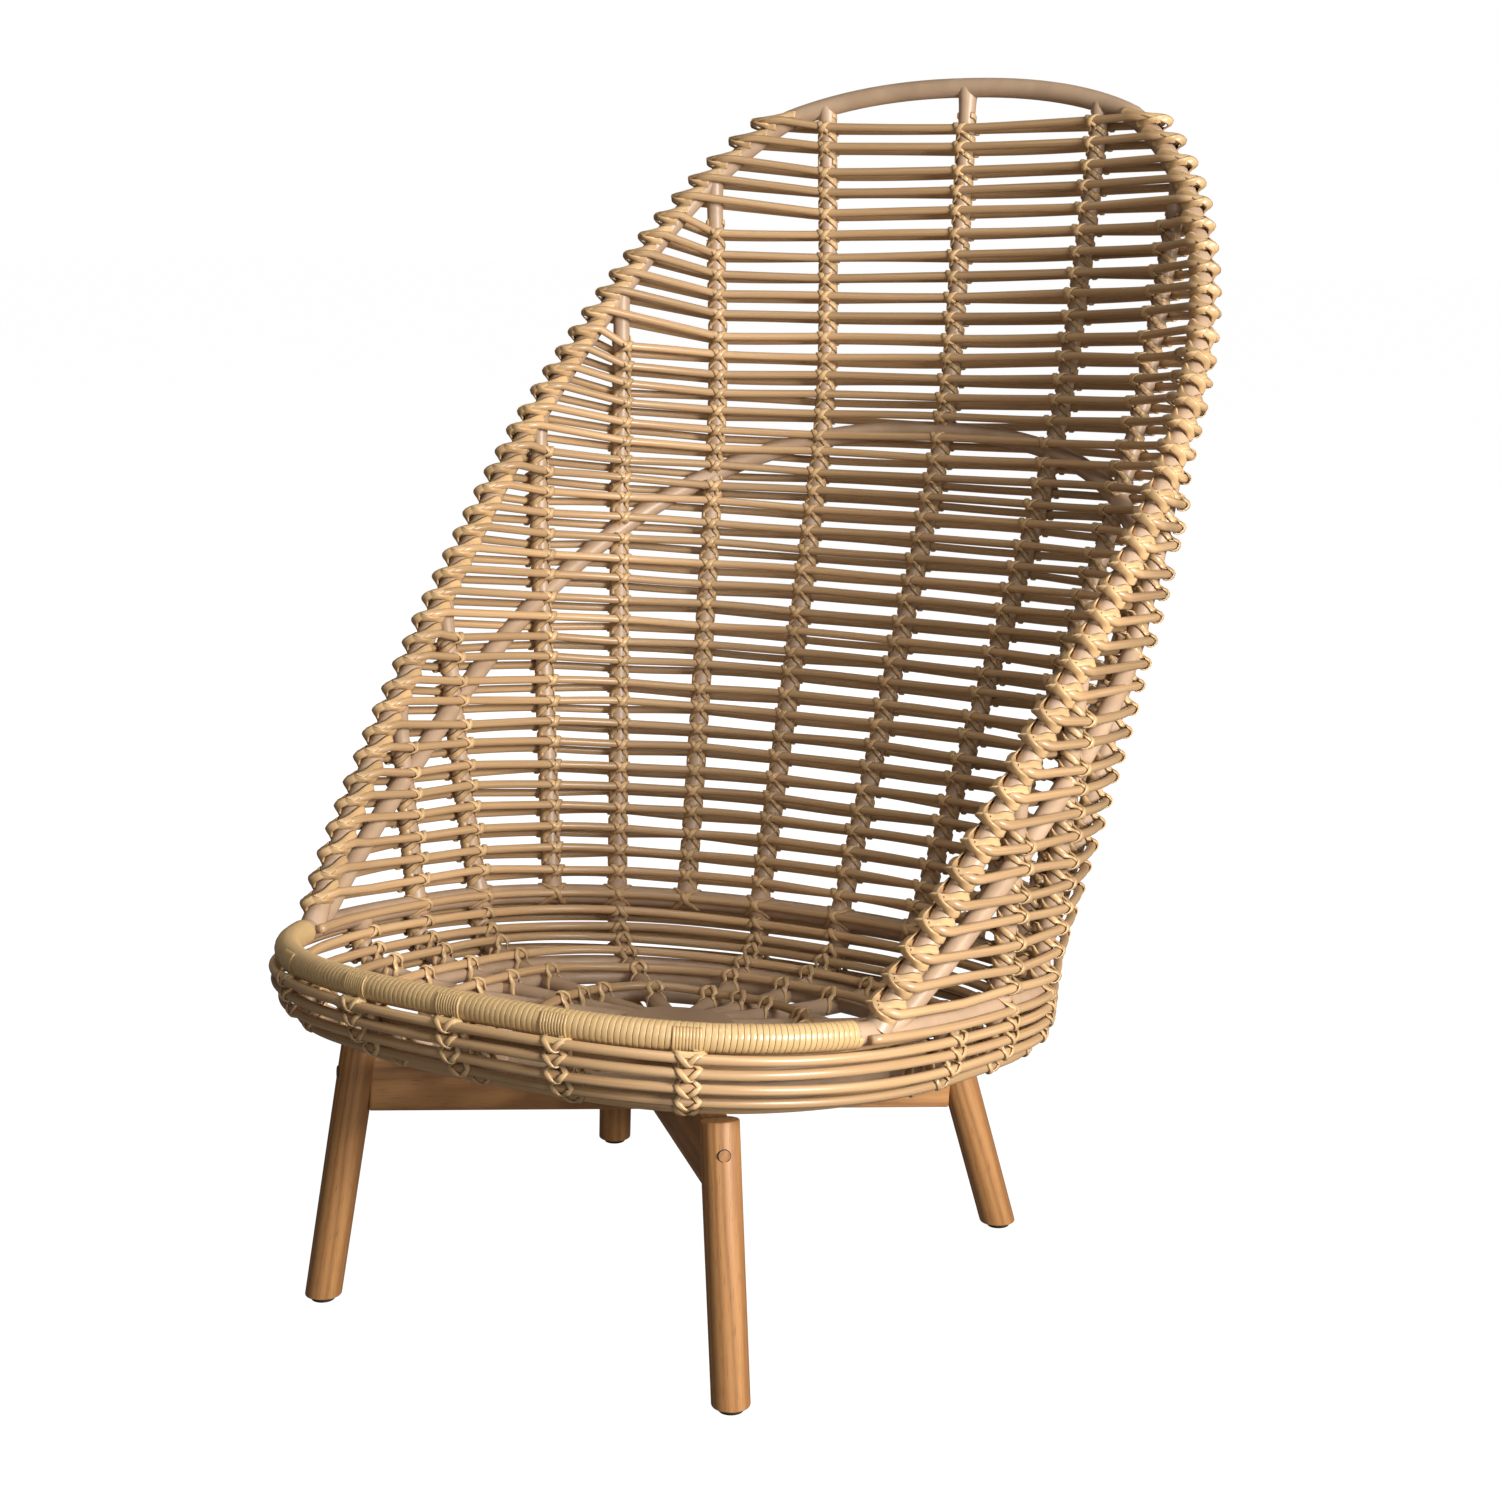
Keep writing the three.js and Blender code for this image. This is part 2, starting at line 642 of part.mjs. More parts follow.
function buildBowl() {
  const angles = spokeAngles();
  const tilt = new THREE.Matrix4().makeRotationX(SEAT_TILT);
  const hub = new THREE.CylinderGeometry(HUB_RADIUS, HUB_RADIUS, HUB_THICKNESS, HUB_STEPS);
  hub.rotateX(Math.PI / 2);
  hub.applyMatrix4(tilt);
  const centre = lift(0, BOWL_CENTRE_Y, -BOWL_DEPTH);
  hub.translate(centre.x, centre.y, centre.z);
  let spider = toSolid(hub);
  for (const angle of angles) {
    const radius = Math.hypot(ringPoint(angle).x, ringPoint(angle).y - BOWL_CENTRE_Y);
    const share = ((HUB_RADIUS - RIB_TUBE) / radius) ** (BOWL_ROUNDNESS / 2);
    const inner = THREE.MathUtils.radToDeg(Math.acos(share));
    const places = [SPOKE_START, ...sample(SPOKE_STEPS, (t) => 90 * t * t).slice(1)];
    const spoke = [...places.filter((place) => place < inner), inner].map((place) => bowlPoint(angle, place));
    spider = spider.add(toSolid(tube(spoke, RIB_TUBE, RIB_SIDES)));
  }
  spider = spider.subtract(cutters.ringFront).subtract(cutters.ringBack);
  addPiece('seat_spider', toGeometry(mainBody(spider)), 'frame');

  const corners = [];
  angles.forEach((angle, i) => {
    const next = i + 1 < angles.length ? angles[i + 1] : angles[0] + Math.PI * 2;
    corners.push(angle);
    if (next - angle > WIDE_GAP) {
      corners.push((angle + next) / 2);
    }
  });
  const spiral = (turns, start, layer, turnAt) => {
    const first = corners.indexOf(start);
    const points = [];
    for (let i = first; i <= first + turns * corners.length; i += 1) {
      const corner = corners[i % corners.length];
      const turn = Math.floor(i / corners.length) + (corner - start) / (2 * Math.PI);
      points.push(bowlPoint(corner, turnAt(turn), layer));
    }
    return points;
  };
  addWinding('bowl_weave_outer', spiral(OUTER_TURNS, corners[0], 1, outerTurn));
  addWinding('bowl_weave_inner', spiral(INNER_TURNS, Math.PI, -1, innerTurn));
}

// Wooden base, laid out along the tilted plane of the rail tops
function basePoint(x, y, height) {
  return lift(x, y, height - BASE_DROP);
}

function frameAlong(origin, direction, upward) {
  const x = direction.clone().normalize();
  const y = new THREE.Vector3().crossVectors(upward, x).normalize();
  const z = new THREE.Vector3().crossVectors(x, y);
  return new THREE.Matrix4().makeBasis(x, y, z).setPosition(origin);
}

function legAxis(foot, top) {
  const bottom = new THREE.Vector3(foot.x, foot.y, 0);
  const end = basePoint(top.x, top.y, LEG_RISE);
  return { bottom, end };
}

const LEGS = [
  { name: 'front_left', foot: FRONT_FOOT, top: FRONT_LEG_TOP, side: -1 },
  { name: 'front_right', foot: FRONT_FOOT, top: FRONT_LEG_TOP, side: 1 },
  { name: 'back_left', foot: BACK_FOOT, top: BACK_LEG_TOP, side: -1 },
  { name: 'back_right', foot: BACK_FOOT, top: BACK_LEG_TOP, side: 1 },
].map(({ name, foot, top, side }) => ({
  name,
  ...legAxis({ x: side * foot.x, y: foot.y }, { x: side * top.x, y: top.y }),
}));

// Round leg, longer than needed at the floor, where it is cut level above its glide
function legGeometry({ bottom, end }, grow) {
  const length = end.distanceTo(bottom);
  const spare = LEG_FOOT_DIAMETER / 2;
  const foot = LEG_FOOT_DIAMETER / 2 + grow;
  const top = LEG_TOP_DIAMETER / 2 + grow;
  const profile = [
    new THREE.Vector2(0, -spare),
    new THREE.Vector2(foot, -spare),
    new THREE.Vector2(top, length - LEG_EASE + grow),
    new THREE.Vector2(top - LEG_EASE, length + grow),
    new THREE.Vector2(0, length + grow),
  ];
  const geometry = new THREE.LatheGeometry(profile, LEG_SIDES);
  geometry.rotateX(Math.PI / 2);
  const axis = end.clone().sub(bottom).normalize();
  geometry.applyQuaternion(new THREE.Quaternion().setFromUnitVectors(Z_AXIS, axis));
  geometry.translate(bottom.x, bottom.y, bottom.z);
  return geometry;
}

function rod(from, direction, diameter, length, sides) {
  const geometry = new THREE.CylinderGeometry(diameter / 2, diameter / 2, length, sides);
  geometry.translate(0, length / 2, 0);
  const turn = new THREE.Quaternion().setFromUnitVectors(new THREE.Vector3(0, 1, 0), direction);
  geometry.applyQuaternion(turn);
  geometry.translate(from.x, from.y, from.z);
  return geometry;
}

function buildBase() {
  const normal = new THREE.Vector3(0, SEAT_SLOPE, 1).normalize();
  const [frontLeft, frontRight, backLeft, backRight] = LEGS;
  const pairs = [
    { name: 'rail_left_to_right', from: frontLeft, to: backRight },
    { name: 'rail_right_to_left', from: frontRight, to: backLeft },
  ];
  const onLeg = (leg, drop) => {
    const axis = leg.bottom.clone().sub(leg.end);
    const down = (LEG_RISE + drop) / -axis.dot(normal);
    return leg.end.clone().addScaledVector(axis, down);
  };
  const mid = (leg) => onLeg(leg, RAIL_HEIGHT / 2);
  const boltPlace = (leg) => onLeg(leg, RAIL_HEIGHT / 2 - PLUG_RISE);
  const railBox = ({ from, to }, width, height, drop) => {
    const a = mid(from);
    const b = mid(to);
    const box = new THREE.BoxGeometry(a.distanceTo(b), width, height);
    box.translate(0, 0, drop);
    const centre = a.clone().add(b).multiplyScalar(0.5);
    return box.applyMatrix4(frameAlong(centre, b.clone().sub(a), normal));
  };
  const half = RAIL_HEIGHT / 2;
  const notch = (pair, drop) => toSolid(railBox(pair, RAIL_WIDTH + 2 * GAP, half + GAP, drop));
  const rails = [
    toSolid(railBox(pairs[0], RAIL_WIDTH, RAIL_HEIGHT, 0)).subtract(notch(pairs[1], half / 2)),
    toSolid(railBox(pairs[1], RAIL_WIDTH, RAIL_HEIGHT, 0)).subtract(notch(pairs[0], -half / 2)),
  ];

  const ends = [
    { leg: frontLeft, rail: 0, towards: backRight },
    { leg: backRight, rail: 0, towards: frontLeft },
    { leg: frontRight, rail: 1, towards: backLeft },
    { leg: backLeft, rail: 1, towards: frontRight },
  ];
  for (const { leg, rail, towards } of ends) {
    const place = boltPlace(leg);
    const inward = boltPlace(towards).sub(place).normalize();
    const face = place.clone().addScaledVector(inward, -LEG_TOP_DIAMETER);
    const seat = place.clone().addScaledVector(inward, PLUG_DEPTH - LEG_TOP_DIAMETER / 2);
    const headSeat = seat.clone().addScaledVector(inward, BOLT_HEAD_HEIGHT + GAP);
    const plugBore = toSolid(rod(face, inward, PLUG_DIAMETER + 2 * GAP,
      face.distanceTo(headSeat) + GAP, PEG_SIDES));
    const boltBore = toSolid(rod(seat, inward, BOLT_DIAMETER + 2 * GAP,
      BOLT_LENGTH + BOLT_HEAD_HEIGHT + 3 * GAP, BOLT_SIDES));
    const levelCut = new THREE.BoxGeometry(...Array(3).fill(2 * LEG_FOOT_DIAMETER));
    levelCut.translate(leg.bottom.x, leg.bottom.y, GLIDE_HEIGHT + GAP - LEG_FOOT_DIAMETER);
    const wood = toSolid(legGeometry(leg, 0)).subtract(toSolid(levelCut));
    rails[rail] = rails[rail].subtract(toSolid(legGeometry(leg, GAP))).subtract(boltBore);
    addPiece(`leg_${leg.name}`, toGeometry(mainBody(wood.subtract(plugBore).subtract(boltBore))), 'wood');

    const plugFace = seat.clone().addScaledVector(inward, -PLUG_DEPTH);
    addPiece(`plug_${leg.name}`, rod(plugFace, inward, PLUG_DIAMETER, PLUG_DEPTH - GAP, PEG_SIDES), 'wood');
    const head = toSolid(rod(seat, inward, BOLT_HEAD_DIAMETER, BOLT_HEAD_HEIGHT, BOLT_SIDES));
    const shank = toSolid(rod(seat, inward, BOLT_DIAMETER, BOLT_HEAD_HEIGHT + BOLT_LENGTH, BOLT_SIDES));
    addPiece(`bolt_${leg.name}`, toGeometry(head.add(shank)), 'steel');

    const radius = GLIDE_DIAMETER / 2;
    const glide = new THREE.CylinderGeometry(radius, radius - GLIDE_TAPER, GLIDE_HEIGHT, LEG_SIDES);
    glide.rotateX(Math.PI / 2);
    const lean = leg.end.clone().sub(leg.bottom).multiplyScalar(GLIDE_HEIGHT / leg.end.z);
    glide.translate(leg.bottom.x + lean.x, leg.bottom.y + lean.y, GLIDE_HEIGHT / 2);
    addPiece(`glide_${leg.name}`, glide, 'glide');
  }
  pairs.forEach(({ name }, i) => addPiece(name, toGeometry(mainBody(rails[i])), 'wood'));

  const block = new THREE.CylinderGeometry(BLOCK_RADIUS, BLOCK_RADIUS, BLOCK_THICKNESS, 2 * LEG_SIDES);
  block.rotateX(Math.PI / 2 + SEAT_TILT);
  const middle = basePoint(0, BOWL_CENTRE_Y, GAP).addScaledVector(normal, BLOCK_THICKNESS / 2);
  block.translate(middle.x, middle.y, middle.z);
  addPiece('mount_block', block, 'wood');
}

buildFrame();
buildBackWeave();
buildBowl();
buildBase();

// The origin is the middle of the footprint, on the floor
const bounds = new THREE.Box3().setFromObject(chair);
const middle = bounds.getCenter(new THREE.Vector3());
chair.position.set(-middle.x, -middle.y, -bounds.min.z);

export default chair;
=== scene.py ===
"""Looks of a high-backed woven lounge chair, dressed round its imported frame.

Everything is in metres, +Z up, with the front of the seat towards -Y and the mirror plane at X = 0.
The shell is laid out in heights above the tilted plane of the seat ring.
"""
import logging
import math
from dataclasses import dataclass, field
from enum import Enum
from typing import Callable, Dict, Iterable, List, Optional, Sequence, Tuple, Union

import bpy
import numpy as np
from mathutils import Matrix, Vector


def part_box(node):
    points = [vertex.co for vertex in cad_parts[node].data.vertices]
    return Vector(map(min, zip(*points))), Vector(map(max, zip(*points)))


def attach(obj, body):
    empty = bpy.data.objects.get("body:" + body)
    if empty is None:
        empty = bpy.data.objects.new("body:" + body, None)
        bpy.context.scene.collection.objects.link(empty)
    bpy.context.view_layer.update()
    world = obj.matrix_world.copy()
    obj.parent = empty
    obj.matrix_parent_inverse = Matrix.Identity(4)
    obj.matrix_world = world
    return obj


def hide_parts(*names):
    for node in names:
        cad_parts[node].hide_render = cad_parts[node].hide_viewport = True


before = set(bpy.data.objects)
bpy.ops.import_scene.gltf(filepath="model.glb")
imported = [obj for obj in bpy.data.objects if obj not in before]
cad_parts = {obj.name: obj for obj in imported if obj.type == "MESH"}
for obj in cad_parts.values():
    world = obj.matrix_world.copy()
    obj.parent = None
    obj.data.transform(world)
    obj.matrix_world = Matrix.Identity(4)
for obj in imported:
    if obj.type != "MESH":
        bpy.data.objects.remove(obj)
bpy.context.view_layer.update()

LOG = logging.getLogger("lounge_chair")
BODY = "root"
SIDES = (("left", -1), ("right", 1))
HALVINGS = 48
CANE_SIDES = 12
STRIP_TOP = 0.6
TUBE_BEVEL = 6
TUBE_SMOOTH = 50
DOUBLES = 1e-6
EDGE_SEGMENTS = 4
EDGE_LIMIT = 40
EDGE_SMOOTH = 35
Color = Tuple[float, float, float, float]
Triple = Tuple[float, float, float]
Pair = Tuple[float, float]
Route = Tuple[np.ndarray, np.ndarray]
Socket = bpy.types.NodeSocket
Input = Union[Socket, float, Sequence[float]]


class Face(Enum):
    """Faces of the shell's wall that canes lie on."""

    INNER = -1
    OUTER = 1


class Slot(Enum):
    """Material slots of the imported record."""

    FRAME = "frame"
    CANE = "cane"
    BINDING = "binding"
    WOOD = "wood"
    GLIDE = "glide"


def shade(red: int, green: int, blue: int) -> Color:
    """Turn a colour as it looks on a screen into the shader's linear values.

    Args:
        red: Red from 0 to 255.
        green: Green from 0 to 255.
        blue: Blue from 0 to 255.

    Returns:
        The linear colour with full alpha.
    """
    def linear(value: int) -> float:
        """One channel of the colour."""
        part = value / 255
        return part / 12.92 if part <= 0.04045 else ((part + 0.055) / 1.055) ** 2.4
    return linear(red), linear(green), linear(blue), 1.0


def unit(vectors: np.ndarray) -> np.ndarray:
    """Scale vectors to length one along their last axis."""
    return vectors / np.linalg.norm(vectors, axis=-1, keepdims=True)


def solve(low: float, high: float, sign: Callable[[float], float]) -> float:
    """Find where a function that starts positive turns negative.

    Args:
        low: Start of the range, where the function is positive.
        high: End of the range.
        sign: The function.

    Returns:
        The place where its sign changes.
    """
    for _ in range(HALVINGS):
        middle = (low + high) / 2
        if sign(middle) > 0:
            low = middle
        else:
            high = middle
    return (low + high) / 2


@dataclass(frozen=True)
class ShellForm:
    """Shape of the reclined shell: seat plane, wall, rim and the stations of its ribs."""

    feet_middle: float
    seat_height: float = 0.325
    seat_slope: float = 0.121
    half_width: float = 0.352
    widest_y: float = 0.060
    back_depth: float = 0.292
    front_depth: float = 0.406
    back_round: float = 2.2
    front_round: float = 2.8
    lower_lean: float = 0.441
    upper_lean: float = 0.08
    knee_height: float = 0.579
    knee_bend: float = 0.050
    side_flare: float = 0.096
    flare_height: float = 0.484
    flare_bend: float = 0.040
    widest_lean: float = 0.39
    rim_foot: float = 0.160
    rim_lean: float = 0.841
    rim_bow: float = 0.040
    rim_bow_height: float = 0.910
    rim_bow_skew: float = 1.8
    fan_ribs: int = 4
    fan_step: float = 14.5
    fan_spread: float = 1.445
    fan_widest: float = 85.0
    side_rib_y: float = 0.140
    side_rib_pitch: float = 0.100
    side_ribs: int = 2
    corners: int = 2
    rim_clear: float = 0.030
    hoop_top: float = 0.555
    hoop_foot: float = 0.143
    probe_station: float = 0.02
    probe_height: float = 0.005

    @property
    def last_rib(self) -> int:
        """Number of the outermost rib."""
        return self.fan_ribs + self.side_ribs

    def ribs(self) -> range:
        """Numbers of all ribs, negative on the left."""
        return range(-self.last_rib, self.last_rib + 1)

    def lift(self, x: float, y: float, height: float) -> np.ndarray:
        """Place a point by its depth behind the middle of the feet and its height over the seat plane."""
        return np.array((x, y + self.feet_middle, self.seat_height - self.seat_slope * y + height))

    @staticmethod
    def bend(height: float, knee: float, soft: float, below: float, above: float) -> float:
        """Rise of a line whose slope changes softly at its knee.

        Args:
            height: Where on the line.
            knee: Height of the change.
            soft: Height over which it blends.
            below: Slope below the knee.
            above: Slope above it.

        Returns:
            The line's offset from its place at the knee.
        """
        d = height - knee
        blend = soft * math.log1p(math.exp(-abs(d) / soft)) + max(-d, 0)
        return above * d - (below - above) * blend

    def section(self, height: float) -> Triple:
        """Level section of the wall.

        Args:
            height: Height over the seat plane.

        Returns:
            Half width, depth of the widest line and distance from there to the back.
        """
        def rise(*line: float) -> float:
            """Offset at this height from the seat plane's."""
            return self.bend(height, *line) - self.bend(0, *line)
        back = rise(self.knee_height, self.knee_bend, self.lower_lean, self.upper_lean)
        flare = rise(self.flare_height, self.flare_bend, self.side_flare, 0)
        widest = self.widest_y + self.widest_lean * height
        return self.half_width + flare, widest, self.widest_y + self.back_depth + back - widest

    def wall_x(self, y: float, height: float) -> float:
        """Half width of the wall.

        Args:
            y: Depth behind the middle of the feet.
            height: Height over the seat plane.

        Returns:
            Distance of the wall from the mirror plane, 0 outside the section.
        """
        half, widest, depth = self.section(height)
        behind = y > widest
        power = self.back_round if behind else self.front_round
        share = abs(y - widest) / (depth if behind else self.front_depth)
        return half * max(0.0, 1 - share ** power) ** (1 / power)

    def back_y(self, height: float) -> float:
        """Depth of the wall at its back."""
        _, widest, depth = self.section(height)
        return widest + depth

    def rim_y(self, height: float) -> float:
        """Depth of the rim's line in side view.

        Args:
            height: Height over the seat plane.

        Returns:
            Depth behind the middle of the feet.
        """
        share = min(1.0, max(0.0, height / self.rim_bow_height))
        bow = self.rim_bow * math.sin(math.pi * share ** self.rim_bow_skew)
        return self.rim_lean * height - self.rim_foot + bow

    def rim_top(self) -> float:
        """Height of the rim's crown."""
        return solve(self.knee_height, 2 * self.knee_height, lambda h: self.back_y(h) - self.rim_y(h))

    def rim_point(self, side: int, height: float) -> np.ndarray:
        """Centre of the rim tube on one side at a height."""
        y = self.rim_y(height)
        return self.lift(side * self.wall_x(y, height), y, height)

    def fan_place(self, number: float, height: float) -> Pair:
        """Place of the wall at a fan rib.

        Args:
            number: The rib's number, which may be a fraction.
            height: Height over the seat plane.

        Returns:
            Half width and depth of the wall there.
        """
        half, widest, depth = self.section(height)
        spread = number * self.fan_step * (1 + height / self.fan_spread)
        angle = math.radians(min(self.fan_widest, spread))
        power = 2 / self.back_round
        return half * math.sin(angle) ** power, widest + depth * math.cos(angle) ** power

    def wall_point(self, station: float, height: float) -> np.ndarray:
        """Point of the wall at a station, counted from the centre rib to the front on each side.

        Args:
            station: Rib number, negative on the left, with fractions between ribs.
            height: Height over the seat plane.

        Returns:
            The point on the wall's middle surface.
        """
        side, number = math.copysign(1, station), abs(station)
        if number <= self.fan_ribs:
            x, y = self.fan_place(number, height)
            return self.lift(side * x, y, height)
        y = self.side_rib_y - (number - self.fan_ribs - 1) * self.side_rib_pitch
        if number < self.fan_ribs + 1:
            _, last = self.fan_place(self.fan_ribs, height)
            y = last + (self.side_rib_y - last) * (number - self.fan_ribs)
        return self.lift(side * self.wall_x(y, height), y, height)

    def row_end(self, height: float) -> int:
        """Number of the last station that a row bends over before it reaches the rim.

        Args:
            height: Height of the row.

        Returns:
            The station's number on the right side.
        """
        end = self.rim_point(1, height)
        last = 0
        for number in range(self.last_rib + self.corners + 1):
            point = self.wall_point(number, height)
            if point[1] < end[1] or np.linalg.norm(point - end) < self.rim_clear:
                break
            last = number
        return last

    def outward(self, station: float, height: float) -> Tuple[np.ndarray, float]:
        """Level direction out of the wall.

        Args:
            station: Where on the wall.
            height: Height over the seat plane.

        Returns:
            The direction, and how much further a level step has to go to clear the leaning wall.
        """
        step, rise = self.probe_station, self.probe_height
        along = self.wall_point(station + step, height) - self.wall_point(station - step, height)
        rising = self.wall_point(station, height + rise) - self.wall_point(station, height - rise)
        normal = unit(np.cross(along, rising))
        level = np.array((normal[0], normal[1], 0.0))
        centre = self.lift(0, self.widest_y, 0)
        if level @ (self.wall_point(station, height) - centre) < 0:
            level = -level
        return unit(level), 1 / np.linalg.norm(level)

    def hoop_height(self, y: float) -> float:
        """Height of the middle hoop over the seat plane at a depth."""
        return self.hoop_top / (self.back_y(self.hoop_top) + self.hoop_foot) * (y + self.hoop_foot)

    def hoop_point(self, station: float) -> Tuple[float, np.ndarray]:
        """Height and place of the middle hoop at a station."""
        height = solve(0, self.knee_height, lambda h: self.hoop_height(
            self.wall_point(station, h)[1] - self.feet_middle) - h)
        return height, self.wall_point(station, height)

    def ring_point(self, angle: float, centre_y: float) -> np.ndarray:
        """Point of the seat ring.

        Args:
            angle: Angle round the bowl's centre, 0 at the front.
            centre_y: Depth of the bowl's centre.

        Returns:
            The point on the ring's centreline.
        """
        dx, dy = math.sin(angle), -math.cos(angle)

        def inside(radius: float) -> float:
            """Tell on which side of the ring's outline a radius ends.

            Args:
                radius: Distance from the bowl's centre.

            Returns:
                A number that is positive inside the outline.
            """
            y = centre_y + radius * dy - self.widest_y
            power = self.back_round if y > 0 else self.front_round
            depth = self.back_depth if y > 0 else self.front_depth
            return 1 - (abs(radius * dx) / self.half_width) ** power - (abs(y) / depth) ** power
        radius = solve(0, self.front_depth + self.back_depth, inside)
        return self.lift(radius * dx, centre_y + radius * dy, 0)


class Nodes:
    """Node tree with short calls to add and join nodes."""

    def __init__(self, tree: bpy.types.NodeTree) -> None:
        """Work on one tree."""
        self.tree = tree

    def feed(self, value: Input, socket: Socket) -> None:
        """Link an output to an input, or set the input to a constant."""
        if isinstance(value, bpy.types.NodeSocket):
            self.tree.links.new(value, socket)
        else:
            socket.default_value = value

    def node(self, kind: str, inputs: Optional[Dict[Union[str, int], Input]] = None,
             **values: object) -> bpy.types.Node:
        """Add a node, set its properties, then feed its inputs.

        Args:
            kind: Node type without its ShaderNode prefix.
            inputs: What goes into its inputs, by name or place.
            **values: Properties by name.

        Returns:
            The new node.
        """
        made = self.tree.nodes.new("ShaderNode" + kind)
        for name, value in values.items():
            setattr(made, name, value)
        for place, value in (inputs or {}).items():
            self.feed(value, made.inputs[place])
        return made

    def math(self, operation: str, first: Input, second: Input = 0.0) -> Socket:
        """Combine two numbers or sockets."""
        return self.node("Math", {0: first, 1: second}, operation=operation).outputs[0]

    def scaled(self, source: Input, gain: float, base: float) -> Socket:
        """Multiply a number and add another."""
        return self.math("ADD", self.math("MULTIPLY", source, gain), base)

    def stretched(self, source: Socket, scale: Triple, shift: Triple = (0.0, 0.0, 0.0)) -> Socket:
        """Scale coordinates for a texture, then shift them."""
        return self.node("Mapping", {"Vector": source, "Scale": scale, "Location": shift}).outputs[0]

    def noise(self, source: Socket, scale: float, detail: float) -> Socket:
        """Noise from 0 to 1 over some coordinates."""
        return self.node("TexNoise", {"Vector": source, "Scale": scale, "Detail": detail}).outputs["Fac"]

    def ramp(self, source: Socket, *stops: Tuple[float, Color]) -> Socket:
        """Colour by a number.

        Args:
            source: The number's socket.
            *stops: Places from 0 to 1 and their colours.

        Returns:
            The colour's socket.
        """
        made = self.node("ValToRGB", {"Fac": source})
        points = made.color_ramp.elements
        while len(points) < len(stops):
            points.new(0.5)
        for point, (place, color) in zip(points, stops):
            point.position = place
            point.color = color
        return made.outputs["Color"]

    def mix(self, share: Input, first: Input, second: Input, kind: str = "MIX") -> Socket:
        """Mix two colours."""
        made = self.node("Mix", {0: share, 6: first, 7: second}, data_type="RGBA", blend_type=kind)
        return made.outputs[2]

    def split(self, source: Socket) -> Sequence[Socket]:
        """The three parts of a vector."""
        return self.node("SeparateXYZ", {0: source}).outputs

    def blend(self, share: Input, first: Socket, second: Socket, output: str) -> None:
        """Mix two shaders on to the named output node."""
        made = self.node("MixShader", {0: share, 1: first, 2: second})
        self.feed(made.outputs[0], self.tree.nodes[output].inputs["Surface"])


class Surface(Nodes):
    """One procedural material with a principled shader."""

    def __init__(self, name: str) -> None:
        """Start a material with a lone shader.

        Args:
            name: Name of the material.
        """
        self.material = bpy.data.materials.new(name)
        self.material.use_nodes = True
        super().__init__(self.material.node_tree)
        self.shader = self.tree.nodes["Principled BSDF"]

    def coat(self, color: Socket, rough: Socket, relief: Socket, strength: float, depth: float) -> None:
        """Join the shader's inputs.

        Args:
            color: Base colour.
            rough: Roughness.
            relief: Height of the fine relief.
            strength: Strength of the relief.
            depth: Depth of the relief in metres.
        """
        bump = self.node("Bump", {"Height": relief, "Strength": strength, "Distance": depth})
        for name, source in (("Base Color", color), ("Roughness", rough), ("Normal", bump.outputs[0])):
            self.feed(source, self.shader.inputs[name])


@dataclass(frozen=True)
class Finish:
    """Look of a surface."""

    name: str

    def material(self) -> bpy.types.Material:
        """Build the material."""
        raise NotImplementedError


@dataclass(frozen=True)
class CaneFinish(Finish):
    """Satin cane with streaks along its length and a tone of its own for each length."""

    pale: Color
    deep: Color
    blush: Color
    roughness: float
    streaks: float = 480.0
    patches: float = 60.0
    blush_share: float = 0.50
    tone_gain: float = 0.30
    tone_base: float = 0.84
    rough_gain: float = 0.18
    relief: float = 0.12
    relief_depth: float = 0.0003

    def material(self) -> bpy.types.Material:
        """Build the material.

        Returns:
            Material that reads the piece's UV map, in metres round and along the cane, and its tone.
        """
        made = Surface(self.name)
        around, along, _ = made.split(made.node("UVMap", uv_map="UVMap").outputs["UV"])
        tone = made.node("Attribute", attribute_name="tone").outputs["Fac"]
        place = made.node("CombineXYZ", {0: around, 1: along, 2: tone}).outputs[0]
        fine = made.noise(made.stretched(place, (self.streaks, 5.0, 9.0)), 1.0, 2.0)
        broad = made.noise(made.stretched(place, (self.patches, 6.0, 31.0)), 1.0, 2.0)
        color = made.ramp(fine, (0.22, self.deep), (0.66, self.pale))
        color = made.mix(made.math("MULTIPLY", broad, self.blush_share), color, self.blush)
        lift = made.scaled(tone, self.tone_gain, self.tone_base)
        grey = made.node("CombineColor", {0: lift, 1: lift, 2: lift}).outputs[0]
        rough = made.scaled(fine, self.rough_gain, self.roughness)
        made.coat(made.mix(1.0, color, grey, "MULTIPLY"), rough, fine, self.relief, self.relief_depth)
        return made.material


@dataclass(frozen=True)
class CoatFinish(Finish):
    """Satin powder coat on tube, slightly clouded."""

    base: Color
    cloud: Color
    roughness: float = 0.34
    rough_gain: float = 0.16
    clouds: float = 26.0
    grains: float = 900.0
    relief: float = 0.12
    relief_depth: float = 0.0003

    def material(self) -> bpy.types.Material:
        """Build the material.

        Returns:
            Material on object coordinates.
        """
        made = Surface(self.name)
        where = made.node("TexCoord").outputs["Object"]
        cloud = made.noise(where, self.clouds, 4.0)
        color = made.ramp(cloud, (0.32, self.cloud), (0.66, self.base))
        rough = made.scaled(cloud, self.rough_gain, self.roughness)
        made.coat(color, rough, made.noise(where, self.grains, 2.0), self.relief, self.relief_depth)
        return made.material


